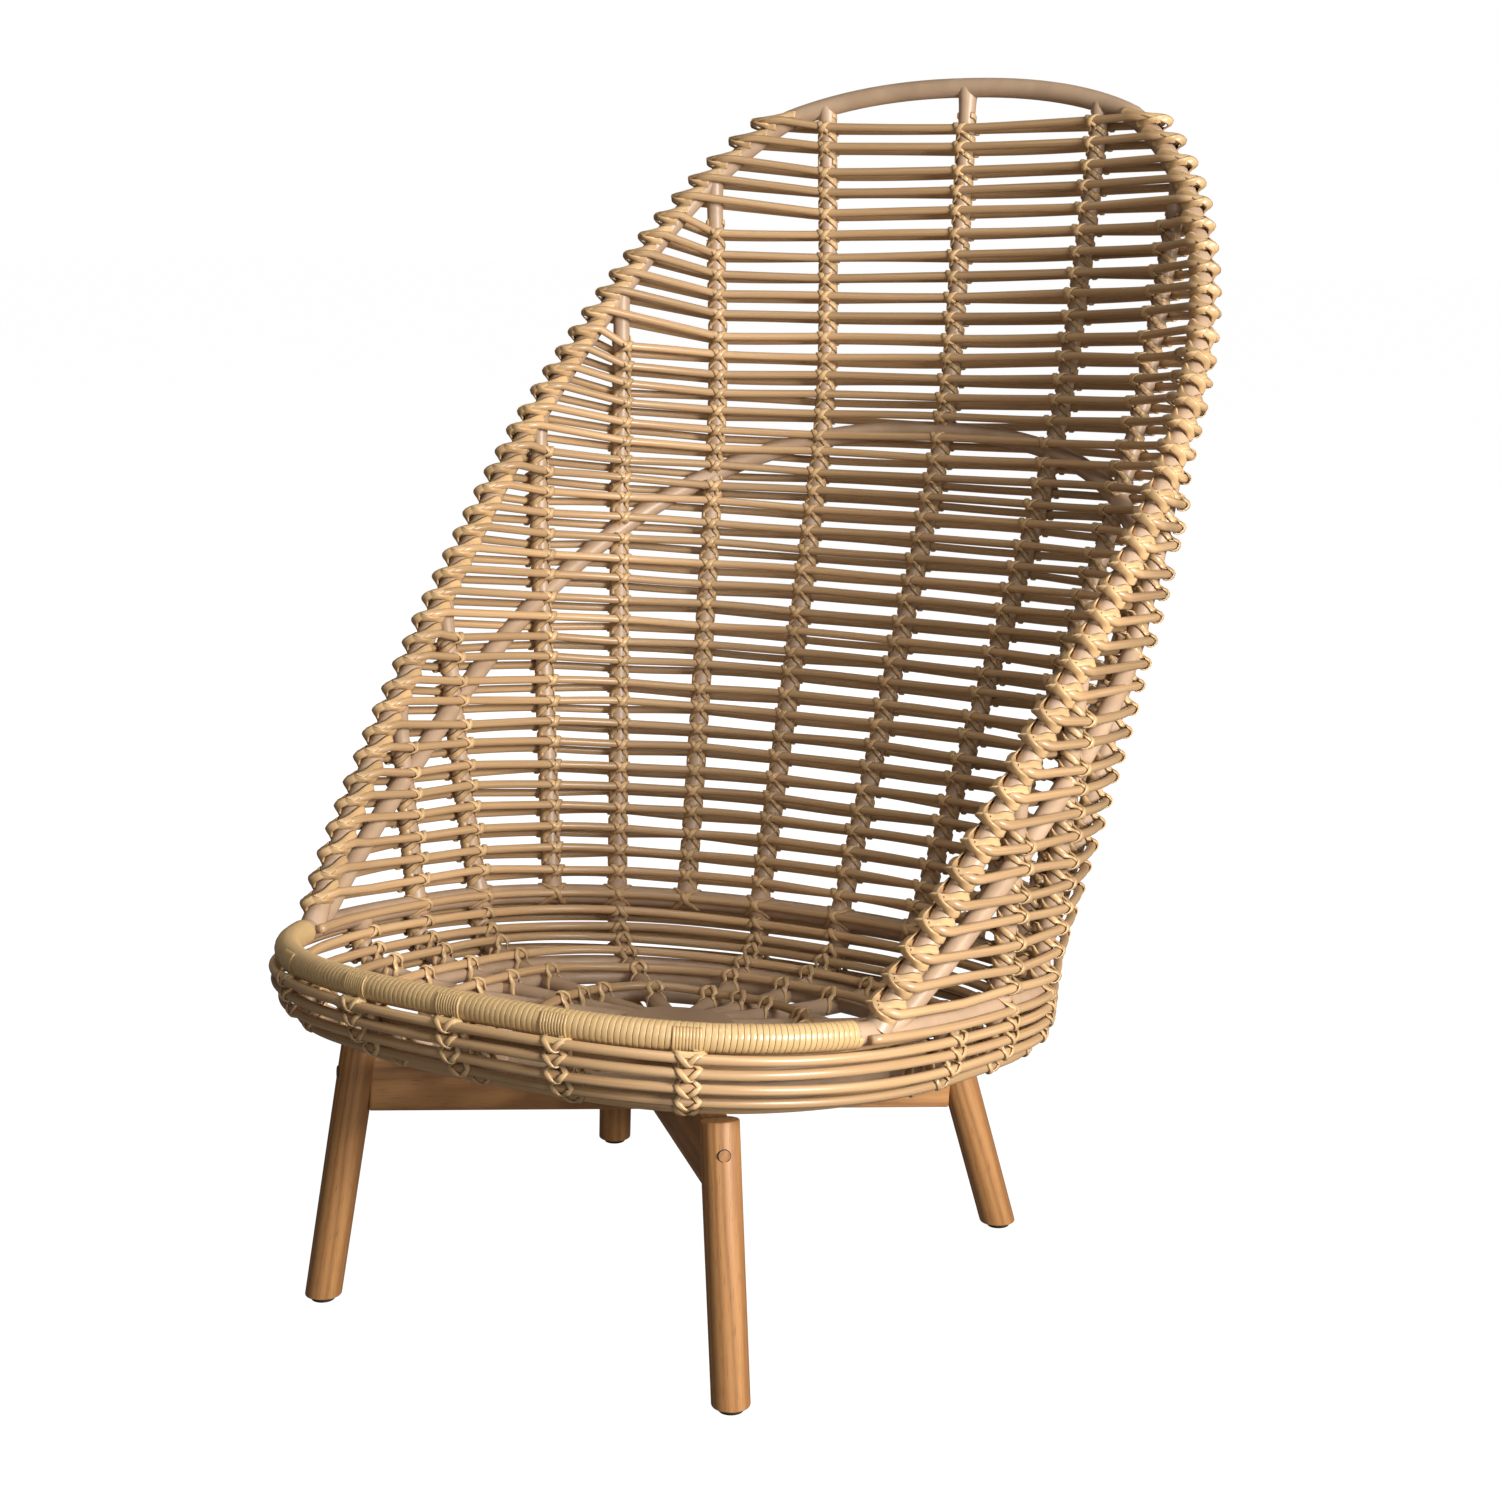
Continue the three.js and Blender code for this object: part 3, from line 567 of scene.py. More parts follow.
@dataclass(frozen=True)
class TeakFinish(Finish):
    """Oiled wood with grain along each piece, read from the piece's own grain coordinates, and a ring of
    painted shade round a plug where there is a rim.
    """

    pale: Color
    warm: Color
    vein: Color
    roughness: float = 0.4
    # rim: radius on a plug's face beyond which a dark ring of painted shade stands for the recess round the
    # plug; joint: the colour of that painted shade.
    rim: float = 0.0
    joint: Color = shade(62, 38, 20)
    rough_gain: float = 0.22
    rings: float = 44.0
    ring_warp: float = 7.0
    ring_centre: Triple = (0.034, 0.013, 0.0)
    ring_scale: Triple = (1.0, 1.0, 0.05)
    warp_scale: Triple = (14.0, 14.0, 2.2)
    fibre_scale: Triple = (900.0, 900.0, 22.0)
    pore_scale: Triple = (1600.0, 1600.0, 60.0)
    pale_share: float = 0.95
    warm_share: float = 0.45
    pore_share: float = 0.55
    relief: float = 0.22
    relief_depth: float = 0.0004

    def material(self) -> bpy.types.Material:
        """Build the material on the grain attribute, whose Z runs along the fibres.

        Returns:
            Material with a dark ring of painted shade, standing for the recess round a plug, beyond the
            rim's radius, where there is a rim.
        """
        made = Surface(self.name)
        where = made.node("Attribute", attribute_name="grain").outputs["Vector"]
        warp = made.noise(made.stretched(where, self.warp_scale), 1.0, 2.0)
        log = made.stretched(where, self.ring_scale, self.ring_centre)
        rings = made.node("TexWave", {"Vector": log, "Scale": self.rings, "Distortion": self.ring_warp,
                                      "Detail": 2.0, "Detail Scale": 1.2},
                          wave_type="RINGS", rings_direction="Z", wave_profile="SIN")
        fibre = made.noise(made.stretched(where, self.fibre_scale), 1.0, 3.0)
        pores = made.noise(made.stretched(where, self.pore_scale), 1.0, 1.0)
        color = made.ramp(rings.outputs["Fac"], (0.0, self.pale), (0.72, self.warm), (1.0, self.vein))
        color = made.mix(made.math("MULTIPLY", warp, self.pale_share), color, self.pale)
        color = made.mix(made.math("MULTIPLY", fibre, self.warm_share), color, self.warm)
        dark = made.ramp(pores, (0.60, (0, 0, 0, 1)), (0.72, (1, 1, 1, 1)))
        color = made.mix(made.math("MULTIPLY", dark, self.pore_share), color, self.vein)
        # Painted shade: the edge of the plug's face is darkened where the shade of the recess round the plug
        # would fall.
        if self.rim:
            squares = [made.math("MULTIPLY", axis, axis) for axis in made.split(where)[:2]]
            recess_shade_ring = made.math("GREATER_THAN", made.math("ADD", *squares), self.rim ** 2)
            color = made.mix(recess_shade_ring, color, self.joint)
        rough = made.scaled(fibre, self.rough_gain, self.roughness)
        made.coat(color, rough, fibre, self.relief, self.relief_depth)
        return made.material


@dataclass(frozen=True)
class RubberFinish(Finish):
    """Dull dark plastic of the glides."""

    base: Color
    dust: Color
    roughness: float = 0.6
    rough_gain: float = 0.2
    spots: float = 300.0
    relief: float = 0.2
    relief_depth: float = 0.0003

    def material(self) -> bpy.types.Material:
        """Build the material.

        Returns:
            Material on object coordinates.
        """
        made = Surface(self.name)
        spots = made.noise(made.node("TexCoord").outputs["Object"], self.spots, 3.0)
        color = made.ramp(spots, (0.4, self.base), (0.75, self.dust))
        made.coat(color, made.scaled(spots, self.rough_gain, self.roughness), spots,
                  self.relief, self.relief_depth)
        return made.material


CANE = CaneFinish("cane", shade(198, 164, 121), shade(168, 133, 92), shade(166, 126, 93), 0.24)
LASHING = CaneFinish("lashing_cane", shade(206, 173, 127), shade(176, 141, 96),
                     shade(188, 150, 108), 0.24, 1500.0)
BINDING = CaneFinish("binding_cane", shade(206, 174, 124), shade(182, 148, 100),
                     shade(194, 160, 112), 0.22, 1300.0)
COAT = CoatFinish("frame_coat", shade(182, 153, 125), shade(166, 138, 111))
TEAK = TeakFinish("teak", shade(182, 132, 81), shade(152, 102, 56), shade(104, 63, 31))
# End grain of the plugs, with a ring of painted shade at the face's edge for the recess round each plug.
END_GRAIN = TeakFinish("teak_end", shade(170, 122, 78), shade(146, 98, 58), shade(104, 66, 36), 0.5, 0.0053)
GLIDE = RubberFinish("glide_rubber", shade(30, 28, 26), shade(58, 54, 50))


@dataclass
class Strand:
    """One length of cane or strip, swept along its centreline.

    Attributes:
        path: Centreline points, one row each.
        facing: Direction out of the strip's face at each point.
        section: Outline as steps across the strip and out of its face, turning left.
        closed: Whether the end joins the start.
        tone: Share of light or dark of this length.
    """

    path: np.ndarray
    facing: np.ndarray
    section: np.ndarray
    closed: bool
    tone: float

    def rings(self) -> np.ndarray:
        """Sweep the section along the path.

        Returns:
            Corner points of the section at each point of the path.
        """
        if self.closed:
            along = np.roll(self.path, -1, 0) - np.roll(self.path, 1, 0)
        else:
            along = np.gradient(self.path, axis=0)
        along = unit(along)
        across = unit(np.cross(along, self.facing))
        out = np.cross(across, along)
        return (self.path[:, None] + across[:, None] * self.section[None, :, :1]
                + out[:, None] * self.section[None, :, 1:])


def round_cane(path: Sequence[np.ndarray], diameter: float, closed: bool, tone: float) -> Strand:
    """Lay a round cane along a path.

    Args:
        path: Centreline points.
        diameter: Thickness of the cane.
        closed: Whether the end joins the start.
        tone: Its share of light or dark.

    Returns:
        The cane.
    """
    angles = np.arange(CANE_SIDES) / CANE_SIDES * 2 * math.pi
    section = diameter / 2 * np.stack((np.cos(angles), np.sin(angles)), 1)
    return Strand(np.array(path), np.tile((0.0, 0.0, 1.0), (len(path), 1)), section, closed, tone)


def flat_strip(route: Route, width: float, crown: float, tone: float) -> Strand:
    """Lay a flat strip of cane with a low crown.

    Args:
        route: Its path and the direction that it faces at each point.
        width: Width of the strip.
        crown: Height of its crown.
        tone: Its share of light or dark.

    Returns:
        The strip.
    """
    half, top = width / 2, width / 2 * STRIP_TOP
    section = np.array(((half, 0.0), (top, crown), (-top, crown), (-half, 0.0)))
    return Strand(*route, section, False, tone)


def lengths(path: np.ndarray) -> np.ndarray:
    """Distance travelled along a path at each of its points."""
    return np.concatenate(((0.0,), np.cumsum(np.linalg.norm(np.diff(path, axis=0), axis=1))))


def rib_label(number: int) -> str:
    """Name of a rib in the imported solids."""
    return "0" if number == 0 else f"{'left' if number < 0 else 'right'}_{abs(number)}"


def link(name: str, data: bpy.types.ID) -> bpy.types.Object:
    """Put an object into the scene.

    Args:
        name: Its name.
        data: Its mesh, curve, light or camera.

    Returns:
        The new object.
    """
    made = bpy.data.objects.new(name, data)
    bpy.context.scene.collection.objects.link(made)
    return made


def cells(grid: np.ndarray) -> np.ndarray:
    """The four corners of each cell of a grid, in turning order."""
    return np.stack((grid[:-1, :-1], grid[1:, :-1], grid[1:, 1:], grid[:-1, 1:]), 2)


def weave(name: str, strands: Sequence[Strand]) -> bpy.types.Object:
    """Make one piece of swept strands, with lengths in metres on its UV map.

    Args:
        name: Name of the piece.
        strands: What it is made of.

    Returns:
        The new object.
    """
    points, faces, uvs, tones = [], [], [], []
    first = 0
    for strand in strands:
        rings = strand.rings()
        count, sides = rings.shape[:2]
        points.append(rings.reshape(-1, 3))
        tones.append(np.full(count * sides, strand.tone))
        index = first + np.arange(count * sides).reshape(count, sides)
        path = strand.path
        if strand.closed:
            index, path = np.vstack((index, index[:1])), np.vstack((path, path[:1]))
        index = np.hstack((index, index[:, :1]))
        faces.extend(cells(index).reshape(-1, 4).tolist())
        along = lengths(path)
        around = lengths(np.vstack((strand.section, strand.section[:1])))
        grid = np.stack(np.broadcast_arrays(around[None, :], along[:, None]), -1)
        uvs.append(cells(grid).reshape(-1, 2))
        if not strand.closed:
            faces += [index[0, :-1].tolist(), index[-1, :-1][::-1].tolist()]
            uvs += [strand.section, strand.section[::-1] + (0.0, along[-1])]
        first += count * sides
    mesh = bpy.data.meshes.new(name)
    mesh.from_pydata(np.vstack(points).tolist(), [], faces)
    layer = mesh.uv_layers.new(name="UVMap")
    layer.data.foreach_set("uv", np.vstack(uvs).astype(np.float32).ravel())
    shares = mesh.attributes.new("tone", "FLOAT", "POINT")
    shares.data.foreach_set("value", np.concatenate(tones).astype(np.float32))
    mesh.polygons.foreach_set("use_smooth", np.ones(len(mesh.polygons), bool))
    return link(name, mesh)


@dataclass
class Tube:
    """One bent tube.

    Attributes:
        path: Centreline points.
        diameter: Outer diameter.
        closed: Whether it closes on itself.
        start_flare: Widening of the weld at its start, as a share of the radius.
        end_flare: Widening of the weld at its end.
        weld: Length over which a weld widens.
    """

    path: np.ndarray
    diameter: float
    closed: bool = False
    start_flare: float = 0.0
    end_flare: float = 0.0
    weld: float = 0.016

    def widths(self) -> np.ndarray:
        """Widen the tube at its welds.

        Returns:
            Share of the radius at each point.
        """
        along = lengths(self.path)
        start = self.start_flare * np.exp(-(along / self.weld) ** 2)
        return 1 + start + self.end_flare * np.exp(-((along[-1] - along) / self.weld) ** 2)

    def curve(self, name: str) -> bpy.types.Object:
        """Draw the tube as a bevelled curve.

        Args:
            name: Name of the object.

        Returns:
            The curve object.
        """
        curve = bpy.data.curves.new(name, "CURVE")
        curve.dimensions = "3D"
        curve.bevel_depth = self.diameter / 2
        curve.bevel_resolution = TUBE_BEVEL
        curve.use_fill_caps = True
        spline = curve.splines.new("POLY")
        spline.points.add(len(self.path) - 1)
        spline.points.foreach_set("co", np.hstack((self.path, np.ones((len(self.path), 1)))).ravel())
        spline.points.foreach_set("radius", self.widths())
        spline.use_cyclic_u = self.closed
        spline.use_smooth = True
        return link(name, curve)


def draw_tubes(name: str, tubes: Sequence[Tube]) -> bpy.types.Object:
    """Bend tubes along their paths and make them one mesh.

    Args:
        name: Name of the piece.
        tubes: What it is made of.

    Returns:
        The mesh object.
    """
    bpy.ops.object.select_all(action="DESELECT")
    parts = [tube.curve(name) for tube in tubes]
    for part in parts:
        part.select_set(True)
    bpy.context.view_layer.objects.active = parts[0]
    bpy.ops.object.convert(target="MESH")
    if len(parts) > 1:
        bpy.ops.object.join()
    made = bpy.context.view_layer.objects.active
    made.name = name
    bpy.ops.object.mode_set(mode="EDIT")
    bpy.ops.mesh.select_all(action="SELECT")
    bpy.ops.mesh.remove_doubles(threshold=DOUBLES)
    bpy.ops.mesh.normals_make_consistent(inside=False)
    bpy.ops.object.mode_set(mode="OBJECT")
    bpy.ops.object.shade_smooth_by_angle(angle=math.radians(TUBE_SMOOTH))
    return made


def fresh(name: str, operator: Callable[..., object], **sizes: object) -> bpy.types.Object:
    """Add a primitive as the only selected object.

    Args:
        name: Name of the object.
        operator: Operator that adds it.
        **sizes: Its sizes and place.

    Returns:
        The new object, with its place put into its mesh.
    """
    bpy.ops.object.select_all(action="DESELECT")
    operator(**sizes)
    made = bpy.context.view_layer.objects.active
    made.name = name
    bpy.ops.object.transform_apply(location=True, rotation=True, scale=True)
    return made


def ease(made: bpy.types.Object, width: float, place: Optional[Matrix] = None) -> bpy.types.Object:
    """Round the sharp edges of a part, note its grain, and put its place into its mesh.

    Args:
        made: The part, active and selected.
        width: Width of the eased edge.
        place: Where the part goes, if it isn't there yet.

    Returns:
        The finished part at the origin.
    """
    bevel = made.modifiers.new("eased_edges", "BEVEL")
    bevel.width = width
    bevel.segments = EDGE_SEGMENTS
    bevel.limit_method = "ANGLE"
    bevel.angle_limit = math.radians(EDGE_LIMIT)
    bpy.ops.object.modifier_apply(modifier=bevel.name)
    mesh = made.data
    spots = np.empty(len(mesh.vertices) * 3, np.float32)
    mesh.vertices.foreach_get("co", spots)
    mesh.attributes.new("grain", "FLOAT_VECTOR", "POINT").data.foreach_set("vector", spots)
    if place is not None:
        mesh.transform(place)
    bpy.ops.object.shade_smooth_by_angle(angle=math.radians(EDGE_SMOOTH))
    return made


@dataclass
class Piece:
    """Mesh that waits for its finish.

    Attributes:
        made: The mesh object.
        finish: Its look.
        slot: Its material slot.
        nodes: Solids that it stands for.
    """

    made: bpy.types.Object
    finish: Finish
    slot: Slot
    nodes: Tuple[str, ...]


@dataclass
class SubAssembly:
    """Part of the chair that builds its meshes first and dresses them after."""

    pieces: List[Piece] = field(default_factory=list, init=False, repr=False)

    def add(self, made: bpy.types.Object, finish: Finish, slot: Slot, *nodes: str) -> None:
        """Note a mesh with its finish, its slot and the solids that it stands for."""
        self.pieces.append(Piece(made, finish, slot, nodes))

    def build(self) -> None:
        """Make the meshes."""
        raise NotImplementedError

    def dress(self) -> Dict[Finish, bpy.types.Material]:
        """Finish each piece, ride it on the chair and hide the solids it stands for.

        Returns:
            The materials by their finish.
        """
        materials: Dict[Finish, bpy.types.Material] = {}
        for piece in self.pieces:
            if piece.finish not in materials:
                materials[piece.finish] = piece.finish.material()
            made = piece.made
            made.data.materials.clear()
            made.data.materials.append(materials[piece.finish])
            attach(made, BODY)
            if piece.nodes:
                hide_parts(*piece.nodes)
            LOG.info("%s: %d faces", made.name, len(made.data.polygons))
        return materials


@dataclass
class TubeFrame(SubAssembly):
    """Bent and welded tubes: rim, seat ring, middle hoop and ribs."""

    form: ShellForm
    rim_tube: float = 0.022
    seat_tube: float = 0.022
    hoop_tube: float = 0.0212
    rib_tube: float = 0.019
    joint_y: float = -0.184
    bowl_y: float = 0.020
    rim_steps: int = 140
    ring_steps: int = 180
    hoop_steps: int = 120
    rib_step: float = 0.009
    least_steps: int = 12
    rim_flare: float = 0.25
    rib_flares: Pair = (0.35, 0.2)
    probe: float = 0.01

    def ring_at(self, angle: float) -> np.ndarray:
        """Point of the seat ring at an angle round the bowl's centre."""
        return self.form.ring_point(angle, self.bowl_y)

    def joint_angle(self) -> float:
        """Angle round the bowl at which the bound rail meets the bare back of the ring."""
        wanted = self.joint_y + self.form.feet_middle
        return solve(0, math.pi, lambda a: wanted - self.ring_at(a)[1])

    def ring_arc(self, start: float, end: float, steps: int) -> np.ndarray:
        """Points of the seat ring between two angles."""
        return np.array([self.ring_at(a) for a in np.linspace(start, end, steps + 1)])

    def ring_frame(self, angle: float) -> Tuple[np.ndarray, np.ndarray, np.ndarray, np.ndarray]:
        """Directions at a place on the seat ring.

        Args:
            angle: Angle round the bowl's centre.

        Returns:
            The place, the ring's direction, the way to the seat's middle and the way up.
        """
        along = unit(self.ring_at(angle + self.probe) - self.ring_at(angle - self.probe))
        up = unit(np.array((0.0, self.form.seat_slope, 1.0)))
        return self.ring_at(angle), along, np.cross(up, along), up

    def angle_of(self, number: float) -> float:
        """Angle round the bowl of a station of the wall."""
        point = self.form.wall_point(number, 0)
        return math.atan2(point[0], self.bowl_y + self.form.feet_middle - point[1]) % (2 * math.pi)

    def rim_path(self) -> np.ndarray:
        """Lay out the rim.

        Returns:
            Points from its left foot over the crown to its right foot.
        """
        top = self.form.rim_top()
        shares = np.linspace(-1, 1, self.rim_steps + 1)
        return np.array([self.form.rim_point(1 if s > 0 else -1, top * (1 - s * s)) for s in shares])

    def hoop_path(self) -> np.ndarray:
        """Lay out the middle hoop.

        Returns:
            Points from one front corner across the back to the other.
        """
        form = self.form
        end = solve(form.last_rib, form.last_rib + form.corners, lambda p: form.hoop_point(p)[0])
        return np.array([form.hoop_point(p)[1] for p in np.linspace(-end, end, self.hoop_steps + 1)])

    def rib_path(self, number: int) -> np.ndarray:
        """Lay out one rib.

        Args:
            number: The rib.

        Returns:
            Points from the seat ring to the rim, closest together at the two welds.
        """
        top = solve(0, self.form.rim_top(), lambda h: self.form.wall_point(number, h)[1]
                    - self.form.feet_middle - self.form.rim_y(h))
        steps = max(self.least_steps, round(top / self.rib_step))
        shares = (1 - np.cos(np.linspace(0, math.pi, steps + 1))) / 2
        return np.array([self.form.wall_point(number, top * share) for share in shares])

    def build(self) -> None:
        """Make all tubes of the frame above the bowl."""
        joint, flare = self.joint_angle(), self.rim_flare
        front = self.ring_arc(-joint, joint, self.ring_steps)
        back = self.ring_arc(joint, 2 * math.pi - joint, self.ring_steps)
        for name, tube, node in (
                ("seat_rail_front", Tube(front, self.seat_tube), "seat_ring_front"),
                ("seat_ring_bare", Tube(back, self.seat_tube), "seat_ring_back"),
                ("rim_tube", Tube(self.rim_path(), self.rim_tube, False, flare, flare), "rim_hoop"),
                ("middle_hoop_tube", Tube(self.hoop_path(), self.hoop_tube), "middle_hoop")):
            self.add(draw_tubes(name, [tube]), COAT, Slot.FRAME, node)
        for number in self.form.ribs():
            label = rib_label(number)
            tube = Tube(self.rib_path(number), self.rib_tube, False, *self.rib_flares)
            self.add(draw_tubes(f"rib_{label}", [tube]), COAT, Slot.FRAME,
                     f"rib_lower_{label}", f"rib_upper_{label}")


@dataclass
class Crossing:
    """Place where a cane crosses a tube and is lashed to it.

    Attributes:
        axis: Point on the tube's centreline.
        along: Direction of the tube, towards the short ends of the strips.
        cane: Centre of the cane.
        row: Direction of the cane.
    """

    axis: np.ndarray
    along: np.ndarray
    cane: np.ndarray
    row: np.ndarray


@dataclass
class CrossLashing:
    """Two flat strips that cross over a cane and run on to the sides of the tube behind it.

    Turns round the cane and the tube are in degrees.
    """

    tube: float
    cane: float
    width: float = 0.0070
    crown: float = 0.0014
    lift: float = 0.0005
    over: float = 0.0013
    turn: float = -22.0
    short_spread: float = 0.0031
    long_spread: float = 0.0040
    start: float = 0.0070
    drop: float = 0.0150
    cane_start: float = 125.0
    cane_end: float = -80.0
    cane_steps: int = 8
    short_turn: float = 60.0
    over_turn: float = 50.0
    tube_start: float = 61.0
    tube_turn: float = 100.0
    tube_steps: int = 6
    uneven: float = 0.0004
    seed: int = 11

    def strip(self, place: Crossing, way: int, skew: float) -> Route:
        """Lay one strip.

        Args:
            place: The crossing.
            way: Side of the tube on which the strip ends, 1 or -1.
            skew: How far off centre the strips cross.

        Returns:
            Path of the strip and the direction that it faces at each point.
        """
        row, along = unit(place.row), unit(place.along)
        out = place.cane - place.axis
        out = unit(out - row * (out @ row))
        up = np.cross(out, row)
        up = up if up @ along > 0 else -up
        front = unit(out - along * (out @ along))
        side = np.cross(along, front)
        side = side if side @ row > 0 else -side
        base = place.axis + along * ((place.cane - place.axis) @ along)
        over = self.over if way < 0 else 0.0
        path, facing = [], []
        for degrees in np.linspace(self.cane_start, self.cane_end, self.cane_steps):
            a = math.radians(degrees)
            normal = up * math.sin(a) + out * math.cos(a)
            past = self.turn - degrees
            if past < 0:
                shift = self.short_spread * past / self.short_turn
            else:
                shift = self.long_spread * past / (self.turn - self.cane_end)
            lift = self.lift + over * math.exp(-(past / self.over_turn) ** 2)
            path.append(place.cane + row * (way * shift + skew) + normal * (self.cane / 2 + lift))
            facing.append(normal)
        for share in np.linspace(0, 1, self.tube_steps):
            a = math.radians(self.tube_start - self.tube_turn * share)
            normal = side * (way * math.cos(a)) + front * math.sin(a)
            fall = self.start + (self.drop - self.start) * math.sin(share * math.pi / 2)
            path.append(base + normal * (self.tube / 2 + self.lift) - along * fall)
            facing.append(normal)
        return np.array(path), np.array(facing)

    def strands(self, places: Iterable[Crossing]) -> List[Strand]:
        """Lash crossings with two strips each.

        Args:
            places: The crossings.

        Returns:
            The strips.
        """
        draw = np.random.default_rng(self.seed)
        made = []
        for place in places:
            tone, skew = draw.random(), draw.normal(0, self.uneven)
            for way in (1, -1):
                made.append(flat_strip(self.strip(place, way, skew), self.width, self.crown, tone))
        return made


@dataclass
class BackWeave(SubAssembly):
    """Rows of cane that run inside the ribs, turn round the rim and run back outside.

    The sway of a row is a sum of waves, each a rate per station and a size.
    """

    form: ShellForm
    tubes: TubeFrame
    rows: int = 38
    row_pitch: float = 0.02365
    first_row: float = 0.031
    windings: int = 7
    cane: float = 0.009
    touch: float = 0.0003
    outer_slack: float = 0.0012
    substeps: int = 7
    straightness: float = 0.45
    wobble: float = 0.0010
    outer_wobble: float = 0.0015
    sway: Tuple[Pair, ...] = ((1.9, 1.0), (3.3, 0.6), (0.0, 0.5))
    uneven: float = 0.0006
    nose_steps: int = 15
    nose_width: float = 0.0098
    nose_crown: float = 0.0012
    nose_reach: float = 0.0076
    nose_foot: float = 0.0082
    nose_start: float = -100.0
    nose_end: float = 104.0
    nose_points: int = 23
    nose_cross: float = -6.0
    nose_turn: float = 70.0
    nose_gap: float = 0.0003
    nose_over: float = 0.0008
    nose_over_reach: float = 0.003
    nose_tone: float = 7.3
    low_drop: float = 0.0130
    high_drop: float = 0.0050
    drop_rows: Tuple[int, int] = (20, 30)
    left_rise: float = 0.38
    sag: float = 0.0150
    sag_stations: Tuple[Tuple[float, ...], Tuple[float, ...]] = ((-4, -3, -2, 1), (0, 0.9, 1, 0))
    sag_rows: Tuple[Tuple[float, ...], Tuple[float, ...]] = ((18, 26, 31, 37), (0, 1, 1, 0.35))
    rim_probe: float = 0.002
    rise_probe: float = 0.004
    row_probe: float = 0.05
    seed: int = 5
    lash_seed: int = 100

    def __post_init__(self) -> None:
        """Draw each row's own unevenness once."""
        draw = np.random.default_rng(self.seed)
        self.phases = draw.random((self.rows, 2, 3)) * 2 * math.pi
        self.tones = draw.random(self.rows)
        self.nudges = draw.normal(0, self.uneven, self.rows)

    def height(self, row: int) -> float:
        """Height of a row over the seat plane, 0 the lowest."""
        return self.first_row + self.row_pitch * row + self.nudges[row]

    def level(self, row: int, station: float, face: Face) -> float:
        """Height of a row's cane at a station.

        Args:
            row: The row.
            station: Where on the wall.
            face: Face of the wall; the outer cane hangs below the inner one.

        Returns:
            Height over the seat plane, with the sag of the high rows towards the left.
        """
        share = np.interp(row, *self.sag_rows) * np.interp(station, *self.sag_stations)
        return self.height(row) - self.sag * share - (self.drop(row) if face is Face.OUTER else 0.0)

    def drop(self, row: int) -> float:
        """Distance by which a row's outer cane hangs below its inner one."""
        return float(np.interp(row, self.drop_rows, (self.low_drop, self.high_drop)))

    def cane_at(self, row: int, station: float, face: Face) -> np.ndarray:
        """Place a row's cane.

        Args:
            row: The row.
            station: Where on the wall.
            face: Face of the wall.

        Returns:
            Centre of the cane.
        """
        height = self.level(row, station, face)
        level, reach = self.form.outward(station, height)
        outer = face is Face.OUTER
        offset = self.tubes.rib_tube / 2 + self.cane / 2 + self.touch
        offset += self.outer_slack if outer else 0.0
        point = self.form.wall_point(station, height) + level * (face.value * offset * reach)
        waves = zip(self.sway, self.phases[row, int(outer)])
        sway = sum(size * math.sin(rate * station + phase) for (rate, size), phase in waves)
        point[2] += (self.outer_wobble if outer else self.wobble) * sway
        return point

    def run(self, row: int, face: Face) -> np.ndarray:
        """Cane of a row on one face, nearly straight from rib to rib.

        Args:
            row: The row.
            face: Face of the wall.

        Returns:
            Its points from left to right.
        """
        last = self.form.row_end(self.height(row))
        corners = [self.cane_at(row, s, face) for s in range(-last, last + 1)]
        points = []
        for i, station in enumerate(range(-last, last)):
            for share in np.arange(self.substeps) / self.substeps:
                curved = self.cane_at(row, station + share, face)
                straight = corners[i] * (1 - share) + corners[i + 1] * share
                points.append(curved * (1 - self.straightness) + straight * self.straightness)
        return np.array(points + corners[-1:])

    def nose_frame(self, height: float) -> Tuple[np.ndarray, np.ndarray, np.ndarray, np.ndarray]:
        """Directions on the right rim.

        Args:
            height: Height of the row.

        Returns:
            Centre of the rim, its direction, and the row's ways ahead and out of the wall.
        """
        form, step = self.form, self.rim_probe
        centre = form.rim_point(1, height)
        along = unit(form.rim_point(1, height + step) - form.rim_point(1, height - step))
        ahead = centre - form.wall_point(form.row_end(height), height)
        ahead = unit(ahead * (1.0, 1.0, 0.0))
        outward = np.array((-ahead[1], ahead[0], 0.0))
        for way in (ahead, outward):
            way[2] = -form.seat_slope * way[1]
        return centre, along, unit(ahead), unit(outward)

    def nose_point(self, height: float, angle: float, radius: float, shift: float) -> np.ndarray:
        """Point round the right rim at a row.

        Args:
            height: Height of the row.
            angle: Turn round the rim from its front, positive towards the outer face.
            radius: Distance from the rim's centreline.
            shift: Distance above the row's plane.

        Returns:
            The point.
        """
        centre, along, ahead, outward = self.nose_frame(height)
        way = unit(ahead * math.cos(angle) + outward * math.sin(angle))
        normal = np.cross(ahead, outward)
        slide = along * (shift / (normal @ along))
        return centre + slide + way * (radius / math.sqrt(1 - (way @ along) ** 2))

    def nose_shift(self, row: int, angle: float, side: int) -> float:
        """Distance of a nose above its row's plane as it comes down to the outer face."""
        fall = 0.5 + 0.5 * math.sin(max(-math.pi / 2, min(math.pi / 2, angle)))
        return self.drop(row) * ((self.left_rise if side < 0 else 0.0) - fall)

    def nose(self, row: int, side: int) -> np.ndarray:
        """Half turn of a row's cane round the rim.

        Args:
            row: The row.
            side: Side of the chair, 1 or -1.

        Returns:
            Points from the inner to the outer face.
        """
        radius = self.tubes.rim_tube / 2 + self.cane / 2 + self.touch
        points = [self.nose_point(self.height(row), a, radius, self.nose_shift(row, a, side))
                  for a in np.linspace(-math.pi / 2, math.pi / 2, self.nose_steps)]
        return np.array(points) * (side, 1, 1)

    def loop(self, row: int) -> Strand:
        """Whole closed loop of a row."""
        path = (self.run(row, Face.INNER), self.nose(row, 1),
                self.run(row, Face.OUTER)[::-1], self.nose(row, -1)[::-1])
        return round_cane(np.vstack(path), self.cane, True, self.tones[row])

